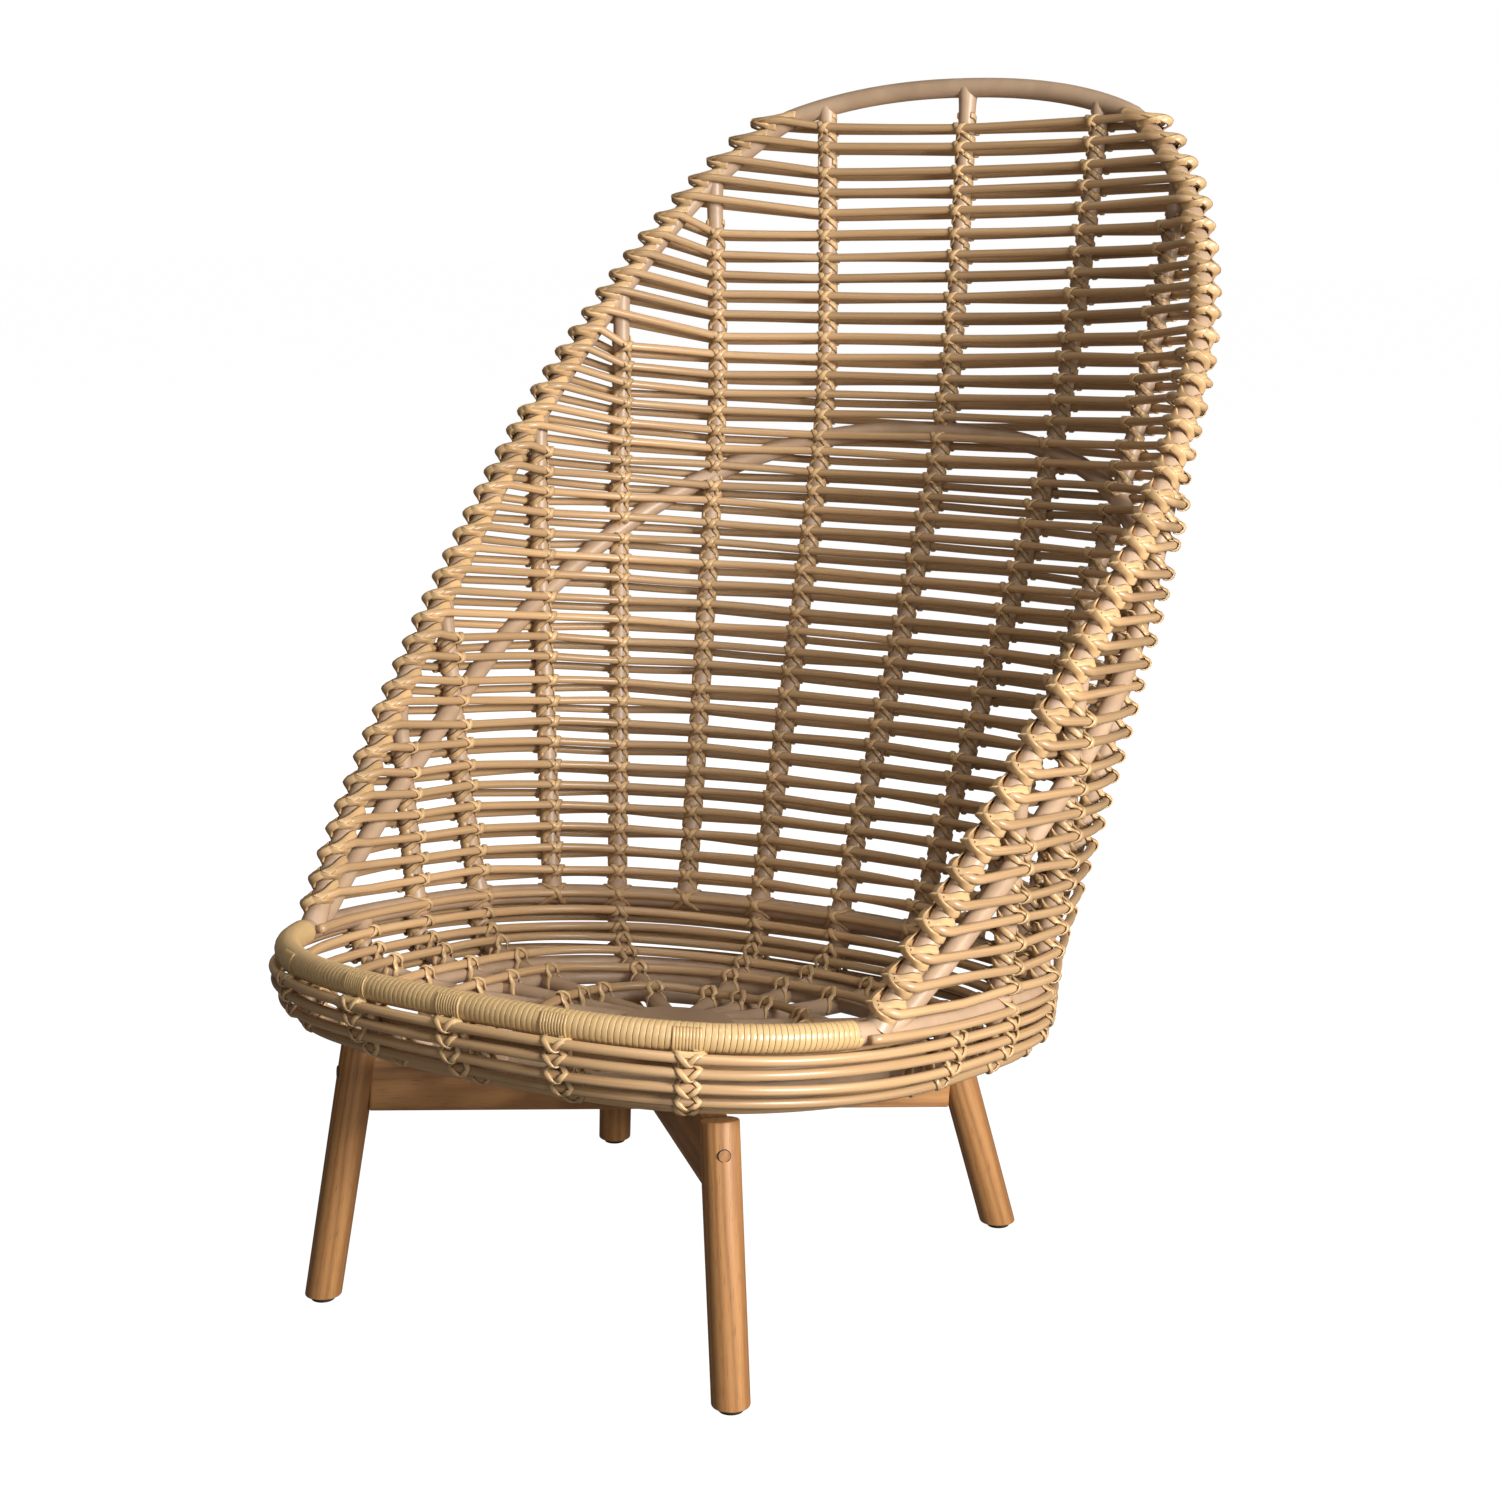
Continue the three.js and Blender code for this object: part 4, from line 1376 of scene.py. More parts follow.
    def rib_places(self, number: int, face: Face) -> List[Crossing]:
        """Find where rows cross a rib.

        Args:
            number: The rib.
            face: Face of the wall.

        Returns:
            The crossings from the lowest row up.
        """
        places = []
        for row in range(self.rows):
            if self.form.row_end(self.height(row)) < abs(number):
                continue
            height = self.level(row, number, face)
            above, axis, below = (self.form.wall_point(number, height + way * self.rise_probe)
                                  for way in (1, 0, -1))
            after, cane, before = (self.cane_at(row, number + way * self.row_probe, face)
                                   for way in (1, 0, -1))
            places.append(Crossing(axis, (above - below) * -face.value, cane, after - before))
        return places

    def nose_strip(self, row: int, way: int, side: int) -> Route:
        """Strip that crosses a nose at its tip and hugs the rim above it on one face and below on the other.

        Args:
            row: The row.
            way: 1 where the strip rises towards the outer face, -1 where it falls.
            side: Side of the chair, 1 or -1.

        Returns:
            Path of the strip and the direction that it faces at each point.
        """
        height = self.height(row)
        rim, half = self.tubes.rim_tube / 2, self.cane / 2
        _, _, ahead, outward = self.nose_frame(height)
        normal = np.cross(ahead, outward)
        tent = 2 * math.atan(half / self.nose_foot)
        leave = self.nose_foot * (1 - math.cos(tent))
        path, facing = [], []
        for degrees in np.linspace(self.nose_start, self.nose_end, self.nose_points):
            angle = math.radians(degrees)
            past = min(1.0, max(-1.0, (degrees - self.nose_cross) / self.nose_turn))
            shift = self.nose_reach * math.sin(math.pi / 2 * past)
            if abs(shift) < leave:
                reach = half + math.sqrt(half ** 2 - shift ** 2)
                lean = math.asin(abs(shift) / half)
            else:
                rest = self.nose_foot - abs(shift)
                reach = rest * math.tan(tent)
                lean = tent * math.sqrt(rest / (self.nose_foot - leave))
            over = self.nose_over * math.exp(-(shift / self.nose_over_reach) ** 2) if way < 0 else 0.0
            path.append(self.nose_point(height, angle, reach + rim + self.nose_gap + over,
                                        self.nose_shift(row, angle, side) + way * shift))
            radial = ahead * math.cos(angle) + outward * math.sin(angle)
            upward = math.copysign(1, shift * way) * math.sin(lean)
            facing.append(radial * math.cos(lean) + normal * upward)
        mirror = (side, 1, 1)
        return np.array(path) * mirror, np.array(facing) * mirror

    def nose_strands(self, side: int) -> List[Strand]:
        """Strips of all noses on one side.

        Args:
            side: Side of the chair, 1 or -1.

        Returns:
            Two strips for each row.
        """
        return [flat_strip(self.nose_strip(row, way, side), self.nose_width, self.nose_crown,
                           (self.tones[row] * self.nose_tone + side) % 1.0)
                for row in range(self.rows) for way in (1, -1)]

    def build(self) -> None:
        """Make the rows, one piece for each winding of the solid, and their lashings."""
        starts = [round(self.rows * winding / self.windings) for winding in range(self.windings + 1)]
        for number, (first, last) in enumerate(zip(starts, starts[1:]), 1):
            strands = [self.loop(row) for row in range(first, last)]
            self.add(weave(f"back_rows_{number}", strands), CANE, Slot.CANE, f"back_weave_{number}")
        for number in self.form.ribs():
            strands = []
            for face in Face:
                tie = CrossLashing(self.tubes.rib_tube, self.cane,
                                   seed=self.lash_seed + 2 * number + face.value)
                strands += tie.strands(self.rib_places(number, face))
            self.add(weave(f"lashing_rib_{rib_label(number)}", strands), LASHING, Slot.BINDING)
        for label, side in SIDES:
            self.add(weave(f"lashing_rim_{label}", self.nose_strands(side)), LASHING, Slot.BINDING)


@dataclass
class RingCanes(SubAssembly):
    """Canes along the inner and outer face of the bare seat ring, lashed to it at each rib.

    Turns round the ring are in degrees, the room at the joints is an angle round the bowl.
    """

    tubes: TubeFrame
    cane: float = 0.009
    touch: float = 0.0003
    inner_rise: float = 14.0
    outer_rise: float = -8.0
    joint_room: float = 0.02
    points: int = 160
    cane_tone: float = 0.4
    strip: float = 0.0064
    strip_crown: float = 0.0009
    strip_tone: float = 0.5
    strip_points: int = 17
    strip_turn: float = 105.0
    strip_gap: float = 0.0005
    reach: float = 0.0135
    over: float = 0.0008
    over_share: float = 0.2
    slope_start: float = 0.8
    slope_turn: float = 26.0

    def rise(self, face: Face) -> float:
        """Angle of a cane above the ring's plane."""
        return math.radians(self.inner_rise if face is Face.INNER else self.outer_rise)

    def cane_point(self, angle: float, face: Face) -> np.ndarray:
        """Place a cane beside the ring.

        Args:
            angle: Angle round the bowl.
            face: Face of the ring.

        Returns:
            Centre of the cane.
        """
        point, _, inward, up = self.tubes.ring_frame(angle)
        rise = self.rise(face)
        way = inward * (-face.value * math.cos(rise)) + up * math.sin(rise)
        return point + way * (self.tubes.seat_tube / 2 + self.cane / 2 + self.touch)

    def strip_path(self, angle: float, face: Face, way: int) -> Route:
        """Strip over the ring and its cane, from above on one side of a rib to below on the other.

        Args:
            angle: Angle of the rib round the bowl.
            face: Face of the ring.
            way: 1 or -1 for the two strips of a cross.

        Returns:
            Path of the strip and the direction that it faces at each point.
        """
        point, along, inward, up = self.tubes.ring_frame(angle)
        ring, half = self.tubes.seat_tube / 2, self.cane / 2
        centre = ring + half + self.touch
        edge = math.asin(half / centre)
        path, facing = [], []
        for share in np.linspace(-1, 1, self.strip_points):
            off = abs(share) * math.radians(self.strip_turn)
            turn = self.rise(face) - share * math.radians(self.strip_turn)
            if off < edge:
                reach = centre * math.cos(off) + math.sqrt(half ** 2 - (centre * math.sin(off)) ** 2)
            else:
                rest = max(0.0, 1 - (off - edge) / math.radians(self.slope_turn))
                reach = ring + self.slope_start * half * rest
            over = self.over * math.exp(-(share / self.over_share) ** 2) if way < 0 else 0.0
            normal = inward * (-face.value * math.cos(turn)) + up * math.sin(turn)
            aside = along * (way * self.reach * math.sin(share * math.pi / 2))
            path.append(point + normal * (reach + self.strip_gap + over) + aside)
            facing.append(normal)
        return np.array(path), np.array(facing)

    def build(self) -> None:
        """Make the two canes and their lashings."""
        joint = self.tubes.joint_angle() + self.joint_room
        angles = np.linspace(joint, 2 * math.pi - joint, self.points)
        canes, strips = [], []
        for face in Face:
            path = [self.cane_point(a, face) for a in angles]
            canes.append(round_cane(path, self.cane, False, self.cane_tone))
            for number in self.tubes.form.ribs():
                for way in (1, -1):
                    route = self.strip_path(self.tubes.angle_of(number), face, way)
                    strips.append(flat_strip(route, self.strip, self.strip_crown, self.strip_tone))
        self.add(weave("ring_canes", canes), CANE, Slot.CANE)
        self.add(weave("lashing_ring", strips), LASHING, Slot.BINDING)


@dataclass
class SeatBowl(SubAssembly):
    """Spokes, hub, floor hoops and rings of cane of the bowl under the seat ring.

    The wobble of a ring is a sum of waves: bends in a turn, shift by the ring's tone, and size.
    """

    form: ShellForm
    tubes: TubeFrame
    depth: float = 0.077
    roundness: float = 4.0
    hub_radius: float = 0.056
    hub_thickness: float = 0.020
    hub_ease: float = 0.003
    hub_sides: int = 64
    rib_spokes: Tuple[int, ...] = (1, 3, 5)
    front_spoke_x: float = 0.110
    front_spokes: Tuple[int, ...] = (-2, -1, 0, 1, 2)
    front_search: float = math.pi / 3
    spoke_steps: int = 48
    front_flare: float = 0.05
    rib_flare: float = 0.45
    weld: float = 0.020
    first_drop: float = 0.0150
    turn_drop: float = 0.0116
    outer_turns: int = 5
    first_turn: float = 2.5
    turn_pitch: float = 16.0
    inner_turns: int = 6
    hoop_tube: float = 0.0165
    first_hoop: float = 49.5
    hoop_pitch: float = 14.5
    hoops: int = 3
    hoop_steps: int = 120
    cane: float = 0.0096
    touch: float = 0.0005
    steps: int = 180
    wobble: Tuple[Triple, ...] = ((3, 9, 0.0009), (7, 31, 0.0006))
    tie_width: float = 0.0064
    tie_turn: float = 48.0
    tie_short: float = 0.0035
    tie_outer: float = 0.0105
    tie_inner: float = 0.0080
    tie_drop: float = 0.0125
    down_probe: float = 1.0
    row_probe: float = 0.02
    seed: int = 21
    lash_seed: int = 300

    def point(self, angle: float, down: float) -> np.ndarray:
        """Point of the bowl.

        Args:
            angle: Angle round its centre.
            down: Degrees down its section from the ring.

        Returns:
            The point on the spokes' centrelines.
        """
        a = math.radians(down)
        share = math.cos(a) ** (2 / self.roundness)
        edge, middle = self.tubes.ring_at(angle), self.tubes.bowl_y
        y = edge[1] - self.form.feet_middle
        height = -self.depth * math.sin(a) ** (2 / self.roundness)
        return self.form.lift(edge[0] * share, middle + (y - middle) * share, height)

    def normal(self, angle: float, down: float) -> np.ndarray:
        """Direction out of the bowl.

        Args:
            angle: Angle round its centre.
            down: Degrees down its section.

        Returns:
            The direction, away from the seat.
        """
        step = self.down_probe
        along = self.point(angle, down + step) - self.point(angle, max(0.0, down - step))
        sideways = np.array((math.cos(angle), math.sin(angle), 0.0))
        out = unit(np.cross(along, sideways))
        return -out if out[2] > 0 else out

    def cane_at(self, angle: float, down: float, face: Face) -> np.ndarray:
        """Centre of a cane on one face of the spokes."""
        offset = self.tubes.rib_tube / 2 + self.cane / 2 + self.touch
        return self.point(angle, down) + self.normal(angle, down) * (face.value * offset)

    def turns(self, face: Face) -> List[float]:
        """Places of the rings of cane.

        Args:
            face: Face of the spokes.

        Returns:
            Degrees down the section of each ring.
        """
        if face is Face.INNER:
            return [self.first_turn + self.turn_pitch * count for count in range(self.inner_turns)]
        drops = [self.first_drop + self.turn_drop * count for count in range(self.outer_turns)]
        return [math.degrees(math.asin((drop / self.depth) ** (self.roundness / 2))) for drop in drops]

    def ring(self, down: float, face: Face, tone: float) -> Strand:
        """Lay one ring of cane round the bowl.

        Args:
            down: Degrees down the section.
            face: Face of the spokes.
            tone: Its share of light or dark.

        Returns:
            The closed cane.
        """
        angles = np.linspace(0, 2 * math.pi, self.steps, endpoint=False)
        path = np.array([self.cane_at(a, down, face) for a in angles])
        for bends, shift, size in self.wobble:
            path[:, 2] += size * np.sin(bends * angles + shift * tone)
        return round_cane(path, self.cane, True, tone)

    def front_angles(self) -> List[float]:
        """Find the spokes that hang from the front rail.

        Returns:
            Their angles round the bowl.
        """
        angles = []
        for count in self.front_spokes:
            wanted = count * self.front_spoke_x
            angles.append(solve(-self.front_search, self.front_search,
                                lambda a: wanted - self.tubes.ring_at(a)[0]))
        return [a % (2 * math.pi) for a in angles]

    def spoke_angles(self) -> List[float]:
        """Find all spokes: those that carry on from ribs, and those from the front rail.

        Returns:
            Their angles round the bowl in rising order.
        """
        last = self.form.last_rib
        sides = [self.tubes.angle_of(number) for number in (*self.rib_spokes, last, last + 1)]
        mirrored = [2 * math.pi - angle for angle in sides]
        return sorted([math.pi] + sides + mirrored + self.front_angles())

    def spoke(self, angle: float, flare: float) -> Tube:
        """Bend one spoke from the seat ring into the hub.

        Args:
            angle: Its angle round the bowl.
            flare: Widening of its weld at the ring.

        Returns:
            The tube.
        """
        edge = self.tubes.ring_at(angle)
        radius = math.hypot(edge[0], edge[1] - self.form.feet_middle - self.tubes.bowl_y)
        share = ((self.hub_radius - self.tubes.rib_tube) / radius) ** (self.roundness / 2)
        inner = math.degrees(math.acos(share))
        downs = [d for d in 90 * (np.linspace(0, 1, self.spoke_steps) ** 2) if d < inner] + [inner]
        path = np.array([self.point(angle, d) for d in downs])
        return Tube(path, self.tubes.rib_tube, False, flare, 0.0, self.weld)

    def hoop(self, count: int) -> Tube:
        """Bend one floor hoop.

        Args:
            count: Which hoop, 0 the outermost.

        Returns:
            The closed tube.
        """
        angles = np.linspace(0, 2 * math.pi, self.hoop_steps, endpoint=False)
        down = self.first_hoop + self.hoop_pitch * count
        return Tube(np.array([self.point(a, down) for a in angles]), self.hoop_tube, True)

    def hub(self) -> bpy.types.Object:
        """Turn the disc that the spokes meet in.

        Returns:
            The disc with eased edges.
        """
        made = fresh("seat_hub", bpy.ops.mesh.primitive_cylinder_add, vertices=self.hub_sides,
                     radius=self.hub_radius, depth=self.hub_thickness,
                     location=self.form.lift(0, self.tubes.bowl_y, -self.depth),
                     rotation=(-math.atan(self.form.seat_slope), 0, 0))
        return ease(made, self.hub_ease)

    def ties(self, face: Face) -> List[Strand]:
        """Lash the canes to the spokes on one face.

        Args:
            face: Face of the spokes.

        Returns:
            The strips.
        """
        places = []
        for angle in self.spoke_angles():
            for down in self.turns(face):
                above, axis, below = (self.point(angle, down + way * self.down_probe) for way in (-1, 0, 1))
                before, cane, after = (self.cane_at(angle + way * self.row_probe, down, face)
                                       for way in (-1, 0, 1))
                places.append(Crossing(axis, (above - below) * -face.value, cane, after - before))
        spread = self.tie_outer if face is Face.OUTER else self.tie_inner
        tie = CrossLashing(self.tubes.rib_tube, self.cane, self.tie_width, turn=self.tie_turn,
                           short_spread=self.tie_short, long_spread=spread, drop=self.tie_drop,
                           seed=self.lash_seed + face.value)
        return tie.strands(places)

    def build(self) -> None:
        """Make the spokes with hoops and hub, the two layers of cane and their lashings."""
        front = self.front_angles()
        spokes = [self.spoke(angle, self.front_flare if angle in front else self.rib_flare)
                  for angle in self.spoke_angles()]
        hoops = [self.hoop(count) for count in range(self.hoops)]
        self.add(draw_tubes("seat_spokes", spokes + hoops), COAT, Slot.FRAME, "seat_spider")
        self.add(self.hub(), COAT, Slot.FRAME)
        draw = np.random.default_rng(self.seed)
        for label, face in (("outer", Face.OUTER), ("inner", Face.INNER)):
            rings = [self.ring(down, face, draw.random()) for down in self.turns(face)]
            self.add(weave(f"bowl_cane_{label}", rings), CANE, Slot.CANE, f"bowl_weave_{label}")
        strips = [strip for face in Face for strip in self.ties(face)]
        self.add(weave("lashing_bowl", strips), LASHING, Slot.BINDING)


@dataclass
class RailBinding(SubAssembly):
    """Flat cane wrapped tightly round the front rail, with patches over the heads of its spokes.

    The edge of the wound strip is given in shares of its half width and its thickness.
    """

    tubes: TubeFrame
    bowl: SeatBowl
    pitch: float = 0.0054
    radius: float = 0.0129
    thickness: float = 0.0005
    edge: Tuple[Pair, ...] = ((1.0, 0.0), (0.96, 0.75), (0.82, 1.0))
    tone: float = 0.55
    rail_steps: int = 400
    turn_steps: int = 18
    patch_strips: int = 9
    patch_pitch: float = 0.0029
    patch_overlap: float = 1.08
    patch_crown: float = 0.0006
    patch_gap: float = 0.0004
    patch_start: float = 50.0
    patch_end: float = -58.0
    patch_points: int = 9
    patch_tone: float = 0.45
    patch_shades: int = 4
    patch_shade: float = 0.03
    patch_drop: float = 0.0250
    spoke_gap: float = 0.0022
    spoke_wrap: float = 1.15
    spoke_points: int = 5
    spoke_from: float = 0.15
    spoke_level: float = 0.85
    collar_reach: float = 0.0140
    collar_width: float = 0.0074
    collar_crown: float = 0.0009
    collar_points: int = 13
    collar_tone: float = 0.6
    collar_rise: float = 0.0058
    collar_sag: float = 0.0016
    collar_out: float = 0.0030
    collar_tuck: float = 0.007
    collar_flat: float = 0.7
    collar_up: float = 0.55
    collar_ahead: float = 0.84

    def winding(self) -> Strand:
        """Wind a strip from one corner of the rail to the other.

        Returns:
            The strip.
        """
        joint = self.tubes.joint_angle()
        centre = self.tubes.ring_arc(-joint, joint, self.rail_steps)
        length = lengths(centre)
        turns = int(length[-1] / self.pitch)
        places = np.linspace(0, length[-1], turns * self.turn_steps + 1)
        path = np.stack([np.interp(places, length, centre[:, i]) for i in range(3)], 1)
        along = unit(np.gradient(path, axis=0))
        side = unit(np.cross(along, (0, self.tubes.form.seat_slope, 1.0)))
        up = np.cross(side, along)
        angle = np.arange(len(places)) / self.turn_steps * 2 * math.pi
        out = side * np.cos(angle)[:, None] + up * np.sin(angle)[:, None]
        edge = [(x * self.pitch / 2, y * self.thickness) for x, y in self.edge]
        section = np.array(edge + [(-x, y) for x, y in reversed(edge)])
        return Strand(path + out * self.radius, out, section, False, self.tone)

    def patch(self, angle: float) -> List[Strand]:
        """Lay strips over the rail's front on to the head of one spoke.

        Args:
            angle: Angle of the spoke round the bowl.

        Returns:
            The strips and the collar across them.
        """
        point, along, inward, up = self.tubes.ring_frame(angle)
        rail = self.radius + self.thickness + self.patch_gap
        spoke = self.tubes.rib_tube / 2 + self.spoke_gap
        start = rail * self.spoke_level
        made = []
        for count in range(self.patch_strips):
            shift = (count - (self.patch_strips - 1) / 2) * self.patch_pitch
            path, facing = [], []
            for degrees in np.linspace(self.patch_start, self.patch_end, self.patch_points):
                turn = math.radians(degrees)
                normal = up * math.sin(turn) - inward * math.cos(turn)
                path.append(point + along * shift + normal * rail)
                facing.append(normal)
            bend = shift / spoke * self.spoke_wrap
            normal = along * math.sin(bend) - inward * math.cos(bend)
            for share in np.linspace(self.spoke_from, 1, self.spoke_points):
                path.append(point + normal * spoke - up * (start + share * (self.patch_drop - start)))
                facing.append(normal)
            tone = self.patch_tone + self.patch_shade * (count % self.patch_shades)
            made.append(flat_strip((np.array(path), np.array(facing)),
                                   self.patch_pitch * self.patch_overlap, self.patch_crown, tone))
        return made + [self.collar(angle)]

    def collar(self, angle: float) -> Strand:
        """Lay a broad strip across the head of one spoke, between the rail and the bowl's first ring.

        Args:
            angle: Angle of the spoke round the bowl.

        Returns:
            The strip.
        """
        point, _, inward, up = self.tubes.ring_frame(angle)
        radius = np.linalg.norm(point - self.tubes.form.lift(0, self.tubes.bowl_y, 0))
        down = self.bowl.turns(Face.OUTER)[0]
        path = []
        for share in np.linspace(-1, 1, self.collar_points):
            ring = self.bowl.cane_at(angle + share * self.collar_reach / radius, down, Face.OUTER)
            tuck = self.collar_tuck * max(0.0, abs(share) - self.collar_flat) / (1 - self.collar_flat)
            rise = self.collar_rise - self.collar_sag * (1 - share * share)
            path.append(ring + up * rise - inward * (self.collar_out - tuck))
        facing = np.tile(unit(up * self.collar_up - inward * self.collar_ahead), (len(path), 1))
        return flat_strip((np.array(path), facing), self.collar_width, self.collar_crown, self.collar_tone)

    def build(self) -> None:
        """Wind the rail and lay the patches."""
        self.add(weave("rail_binding", [self.winding()]), BINDING, Slot.BINDING, "front_binding")
        strips = [strip for angle in self.bowl.front_angles() for strip in self.patch(angle)]
        self.add(weave("rail_patches", strips), BINDING, Slot.BINDING)


@dataclass
class WoodBase(SubAssembly):
    """Crossed rails, round splayed legs, plugs and glides."""

    form: ShellForm
    drop: float = 0.097
    rail_height: float = 0.059
    rail_width: float = 0.026
    rail_sunk: float = 0.010
    rail_ease: float = 0.0022
    leg_top: float = 0.037
    leg_foot: float = 0.036
    leg_ease: float = 0.0018
    leg_rise: float = 0.006
    leg_sides: int = 64
    front_foot: Pair = (0.240, -0.264)
    front_top: Pair = (0.208, -0.232)
    back_foot: Pair = (0.248, 0.264)
    back_top: Pair = (0.210, 0.218)
    glide_height: float = 0.0048
    glide_taper: float = 0.001
    glide_ease: float = 0.0007
    plug: float = 0.0125
    plug_rise: float = 0.007
    plug_depth: float = 0.006
    plug_sunk: float = 0.0026
    plug_ease: float = 0.0006
    small_sides: int = 40
    gap: float = 0.0003

    def leg_line(self, name: str) -> Tuple[Vector, Vector]:
        """Lay out the axis of a leg.

        Args:
            name: The leg, such as front_left.

        Returns:
            Foot and top of its axis.
        """
        side = -1 if name.endswith("left") else 1
        foot, top = self.back_foot, self.back_top
        if name.startswith("front"):
            foot, top = self.front_foot, self.front_top
        end = self.form.lift(side * top[0], top[1], self.leg_rise - self.drop)
        return Vector((side * foot[0], foot[1] + self.form.feet_middle, 0)), Vector(end)

    def on_leg(self, name: str, fall: float) -> Vector:
        """Point on a leg's axis.

        Args:
            name: The leg.
            fall: Distance below the rail's top.

        Returns:
            The point.
        """
        foot, end = self.leg_line(name)
        normal = Vector((0, self.form.seat_slope, 1)).normalized()
        axis = foot - end
        return end + axis * ((self.leg_rise + fall) / -axis.dot(normal))

    def leg(self, name: str) -> bpy.types.Object:
        """Turn one leg: tapered, eased at the top and cut level at the foot.

        Args:
            name: The leg.

        Returns:
            The finished leg.
        """
        foot, end = self.leg_line(name)
        axis = end - foot
        turn = Vector((0, 0, 1)).rotation_difference(axis)
        spare = self.leg_foot / 2
        made = fresh(f"leg_{name}_turned", bpy.ops.mesh.primitive_cone_add, vertices=self.leg_sides,
                     radius1=self.leg_foot / 2, radius2=self.leg_top / 2, depth=axis.length + spare,
                     location=(0, 0, (axis.length - spare) / 2))
        level = turn.inverted() @ Vector((0, 0, 1))
        bpy.ops.object.mode_set(mode="EDIT")
        bpy.ops.mesh.select_all(action="SELECT")
        bpy.ops.mesh.bisect(plane_co=level * (self.glide_height + self.gap), plane_no=level,
                            use_fill=True, clear_inner=True)
        bpy.ops.object.mode_set(mode="OBJECT")
        return ease(made, self.leg_ease, Matrix.Translation(foot) @ turn.to_matrix().to_4x4())

    def rail_frame(self, ends: Tuple[str, str]) -> Tuple[Matrix, float]:
        """Place a rail between two legs.

        Args:
            ends: The legs.

        Returns:
            Frame of its middle, with Z along the rail, and the distance between the legs' axes.
        """
        a, b = (self.on_leg(leg, self.rail_height / 2) for leg in ends)
        z = (b - a).normalized()
        x = Vector((0, self.form.seat_slope, 1)).cross(z).normalized()
        basis = Matrix((x, z.cross(x), z)).transposed().to_4x4()
        return Matrix.Translation((a + b) / 2) @ basis, (b - a).length

    def rail(self, name: str, ends: Tuple[str, str], crossing: Tuple[str, str],
             upper: bool) -> bpy.types.Object:
        """Saw one rail and notch it where the other one crosses it.

        Args:
            name: Name of the piece.
            ends: Legs at its two ends.
            crossing: Legs at the ends of the other rail.
            upper: Whether its notch is in the upper half.

        Returns:
            The finished rail.
        """
        place, length = self.rail_frame(ends)
        other, span = self.rail_frame(crossing)
        half, cube = self.rail_height / 2, bpy.ops.mesh.primitive_cube_add
        sunk = self.leg_top - self.rail_sunk
        made = fresh(name, cube, size=1, scale=(self.rail_width, self.rail_height, length - sunk))
        notch = fresh("notch", cube, size=1, location=(0, half / 2 if upper else -half / 2, 0),
                      scale=(self.rail_width + 2 * self.gap, half + self.gap, span / 2))
        notch.data.transform(place.inverted() @ other)
        notch.select_set(False)
        made.select_set(True)
        bpy.context.view_layer.objects.active = made
        cut = made.modifiers.new("half_lap", "BOOLEAN")
        cut.object = notch
        cut.operation = "DIFFERENCE"
        bpy.ops.object.modifier_apply(modifier=cut.name)
        bpy.data.objects.remove(notch)
        return ease(made, self.rail_ease, place)

    def peg(self, name: str, far: str) -> bpy.types.Object:
        """Turn the plug over a leg's bolt, flush with the leg's outer face.

        Args:
            name: The leg.
            far: Leg at the other end of the rail.

        Returns:
            The finished plug.
        """
        fall = self.rail_height / 2 - self.plug_rise
        spot, other = self.on_leg(name, fall), self.on_leg(far, fall)
        inward = (other - spot).normalized()
        made = fresh(f"plug_{name}_turned", bpy.ops.mesh.primitive_cylinder_add,
                     vertices=self.small_sides, radius=self.plug / 2, depth=self.plug_depth)
        turn = Vector((0, 0, 1)).rotation_difference(-inward).to_matrix().to_4x4()
        face = spot - inward * (self.leg_top / 2 - self.plug_sunk)
        return ease(made, self.plug_ease, Matrix.Translation(face) @ turn)

    def glide(self, name: str) -> bpy.types.Object:
        """Mould the low round glide under a foot.

        Args:
            name: The leg.

        Returns:
            The finished glide.
        """
        low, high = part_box(f"glide_{name}")
        middle, radius = (low + high) / 2, (high.x - low.x) / 2
        middle.z = self.glide_height / 2
        made = fresh(f"glide_{name}_moulded", bpy.ops.mesh.primitive_cone_add, vertices=self.small_sides,
                     radius1=radius - self.glide_taper, radius2=radius, depth=self.glide_height)
        return ease(made, self.glide_ease, Matrix.Translation(middle))

    def build(self) -> None:
        """Make the whole base."""
        first, second = ("front_left", "back_right"), ("front_right", "back_left")
        for name, far in (first, second, second[::-1], first[::-1]):
            self.add(self.leg(name), TEAK, Slot.WOOD, f"leg_{name}")
            self.add(self.peg(name, far), END_GRAIN, Slot.WOOD, f"plug_{name}")
            self.add(self.glide(name), GLIDE, Slot.GLIDE, f"glide_{name}")
        self.add(self.rail("rail_sawn_1", first, second, True), TEAK, Slot.WOOD, "rail_left_to_right")
        self.add(self.rail("rail_sawn_2", second, first, False), TEAK, Slot.WOOD, "rail_right_to_left")

    def dress(self) -> Dict[Finish, bpy.types.Material]:
        """Dress the pieces, and the mounting block of the solids in the same wood.

        Returns:
            The materials by their finish.
        """
        materials = super().dress()
        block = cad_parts["mount_block"].data
        block.materials.clear()
        block.materials.append(materials[TEAK])
        return materials


@dataclass(frozen=True)
class Lamp:
    """Square soft lamp that looks at the middle of the chair.

    Attributes:
        name: Name of the lamp.
        place: Where it hangs.
        size: Length of its side.
        power: Its watts.
        glare: Whether it makes highlights of its own.
        target: Where it looks.
    """

    name: str
    place: Triple
    size: float
    power: float
    glare: bool = True
    target: Triple = (0.0, 0.0, 0.55)

    def hang(self) -> None:
        """Put the lamp into the scene."""
        data = bpy.data.lights.new(self.name, "AREA")
        data.size = self.size
        data.energy = self.power
        made = link(self.name, data)
        made.location = self.place
        made.visible_glossy = self.glare
        sight = Vector(self.target) - Vector(self.place)
        made.rotation_euler = sight.to_track_quat("-Z", "Y").to_euler()


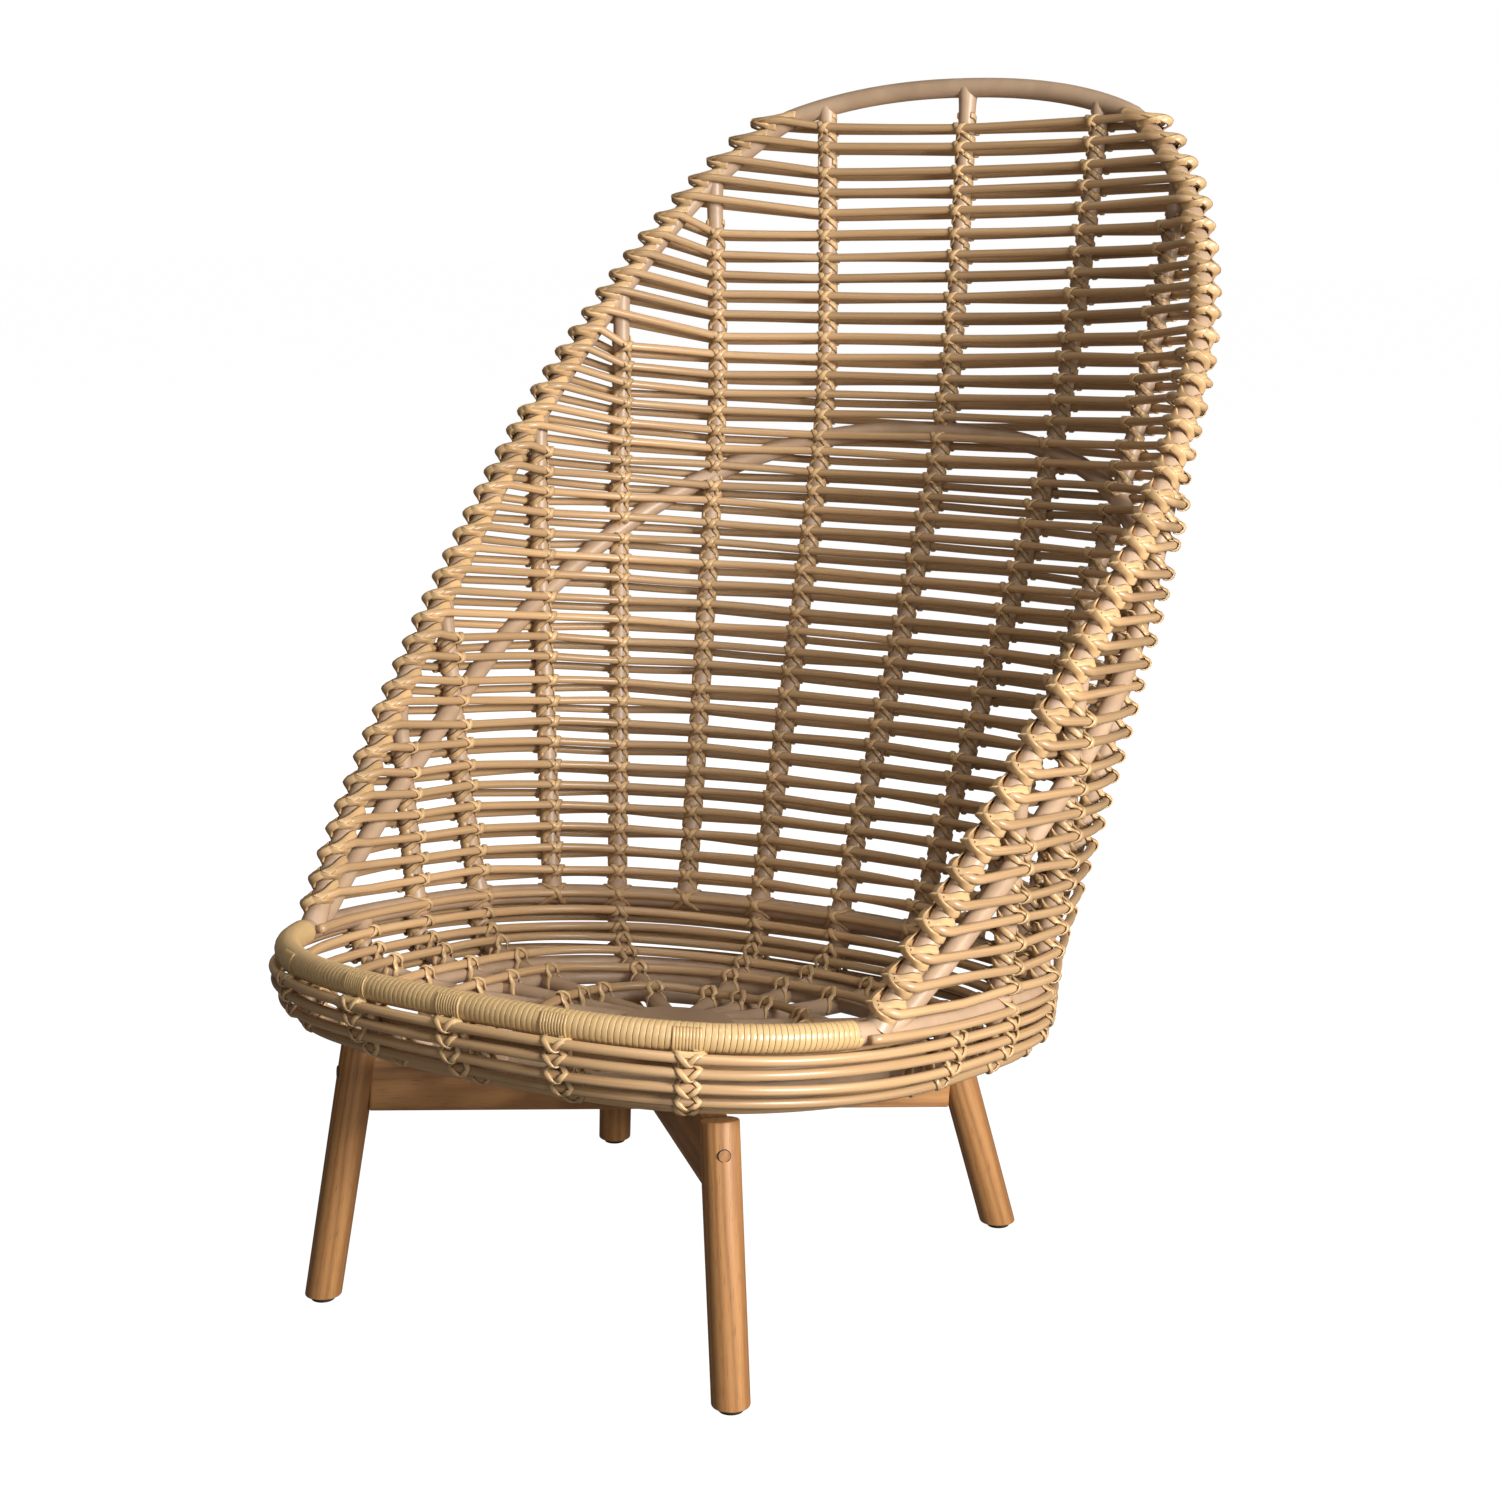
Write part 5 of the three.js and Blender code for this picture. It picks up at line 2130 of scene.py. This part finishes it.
@dataclass
class Studio:
    """White floor, soft lamps and the camera at the photograph's viewing angle."""

    form: ShellForm
    lens: float = 64.64
    sensor: float = 36.0
    camera_place: Triple = (1.4389, -2.1873, 1.0883)
    yaw: float = 31.504
    pitch: float = 11.872
    floor_size: float = 60.0
    floor_seen: Color = shade(232, 232, 232)
    floor_lit: Color = shade(116, 112, 106)
    floor_glow: float = 1.15
    glow_share: float = 0.86
    sky_light: float = 0.04
    lamps: Tuple[Lamp, ...] = (
        Lamp("key", (3.15, -0.85, 1.5), 1.0, 195),
        Lamp("front", (1.6, -3.2, 1.3), 1.4, 20),
        Lamp("top", (0.6, -0.9, 3.4), 1.5, 28),
        Lamp("back", (-2.4, 2.6, 2.0), 2.0, 95, False))

    def floor(self) -> None:
        """Lay a pale floor that the camera sees as white and that keeps the chair's shadow."""
        made = fresh("studio_floor", bpy.ops.mesh.primitive_plane_add, size=self.floor_size)
        surface = Surface("studio_floor")
        seen = surface.node("LightPath").outputs["Is Camera Ray"]
        color = surface.mix(seen, self.floor_lit, self.floor_seen)
        for name, value in (("Base Color", color), ("Roughness", 1.0), ("Specular IOR Level", 0.0)):
            surface.feed(value, surface.shader.inputs[name])
        glow = surface.node("Emission", {"Strength": self.floor_glow})
        share = surface.math("MULTIPLY", seen, self.glow_share)
        surface.blend(share, surface.shader.outputs[0], glow.outputs[0], "Material Output")
        made.data.materials.append(surface.material)

    def world(self) -> None:
        """Make an even surround that the camera sees as white and that hardly lights the chair."""
        made = bpy.data.worlds.new("studio_surround")
        made.use_nodes = True
        nodes = Nodes(made.node_tree)
        sky, white = made.node_tree.nodes["Background"], nodes.node("Background")
        for node, strength in ((sky, self.sky_light), (white, 1.0)):
            nodes.feed((1, 1, 1, 1), node.inputs["Color"])
            nodes.feed(strength, node.inputs["Strength"])
        seen = nodes.node("LightPath").outputs["Is Camera Ray"]
        nodes.blend(seen, sky.outputs[0], white.outputs[0], "World Output")
        bpy.context.scene.world = made

    def camera(self) -> None:
        """Set up the camera of the photograph."""
        data = bpy.data.cameras.new("photo_camera")
        data.lens = self.lens
        data.sensor_width = self.sensor
        made = link("photo_camera", data)
        made.location = Vector(self.camera_place) + Vector((0, self.form.feet_middle, 0))
        made.rotation_euler = (math.radians(90 - self.pitch), 0, math.radians(self.yaw))
        bpy.context.scene.camera = made

    def build(self) -> None:
        """Set the stage."""
        self.camera()
        self.floor()
        self.world()
        for lamp in self.lamps:
            lamp.hang()
        bpy.context.scene.view_settings.view_transform = "Standard"


def feet_middle() -> float:
    """Depth of the line midway between the front and back feet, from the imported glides."""
    spots = [sum(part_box(f"glide_{name}"), Vector()) / 2 for name in ("front_left", "back_left")]
    return (spots[0].y + spots[1].y) / 2


def main() -> None:
    """Set the stage, then build and dress the chair's parts in order."""
    logging.basicConfig(level=logging.INFO)
    form = ShellForm(feet_middle())
    Studio(form).build()
    tubes = TubeFrame(form)
    bowl = SeatBowl(form, tubes)
    for part in (tubes, BackWeave(form, tubes), RingCanes(tubes), bowl,
                 RailBinding(tubes, bowl), WoodBase(form)):
        part.build()
        part.dress()


if __name__ == "__main__":
    main()
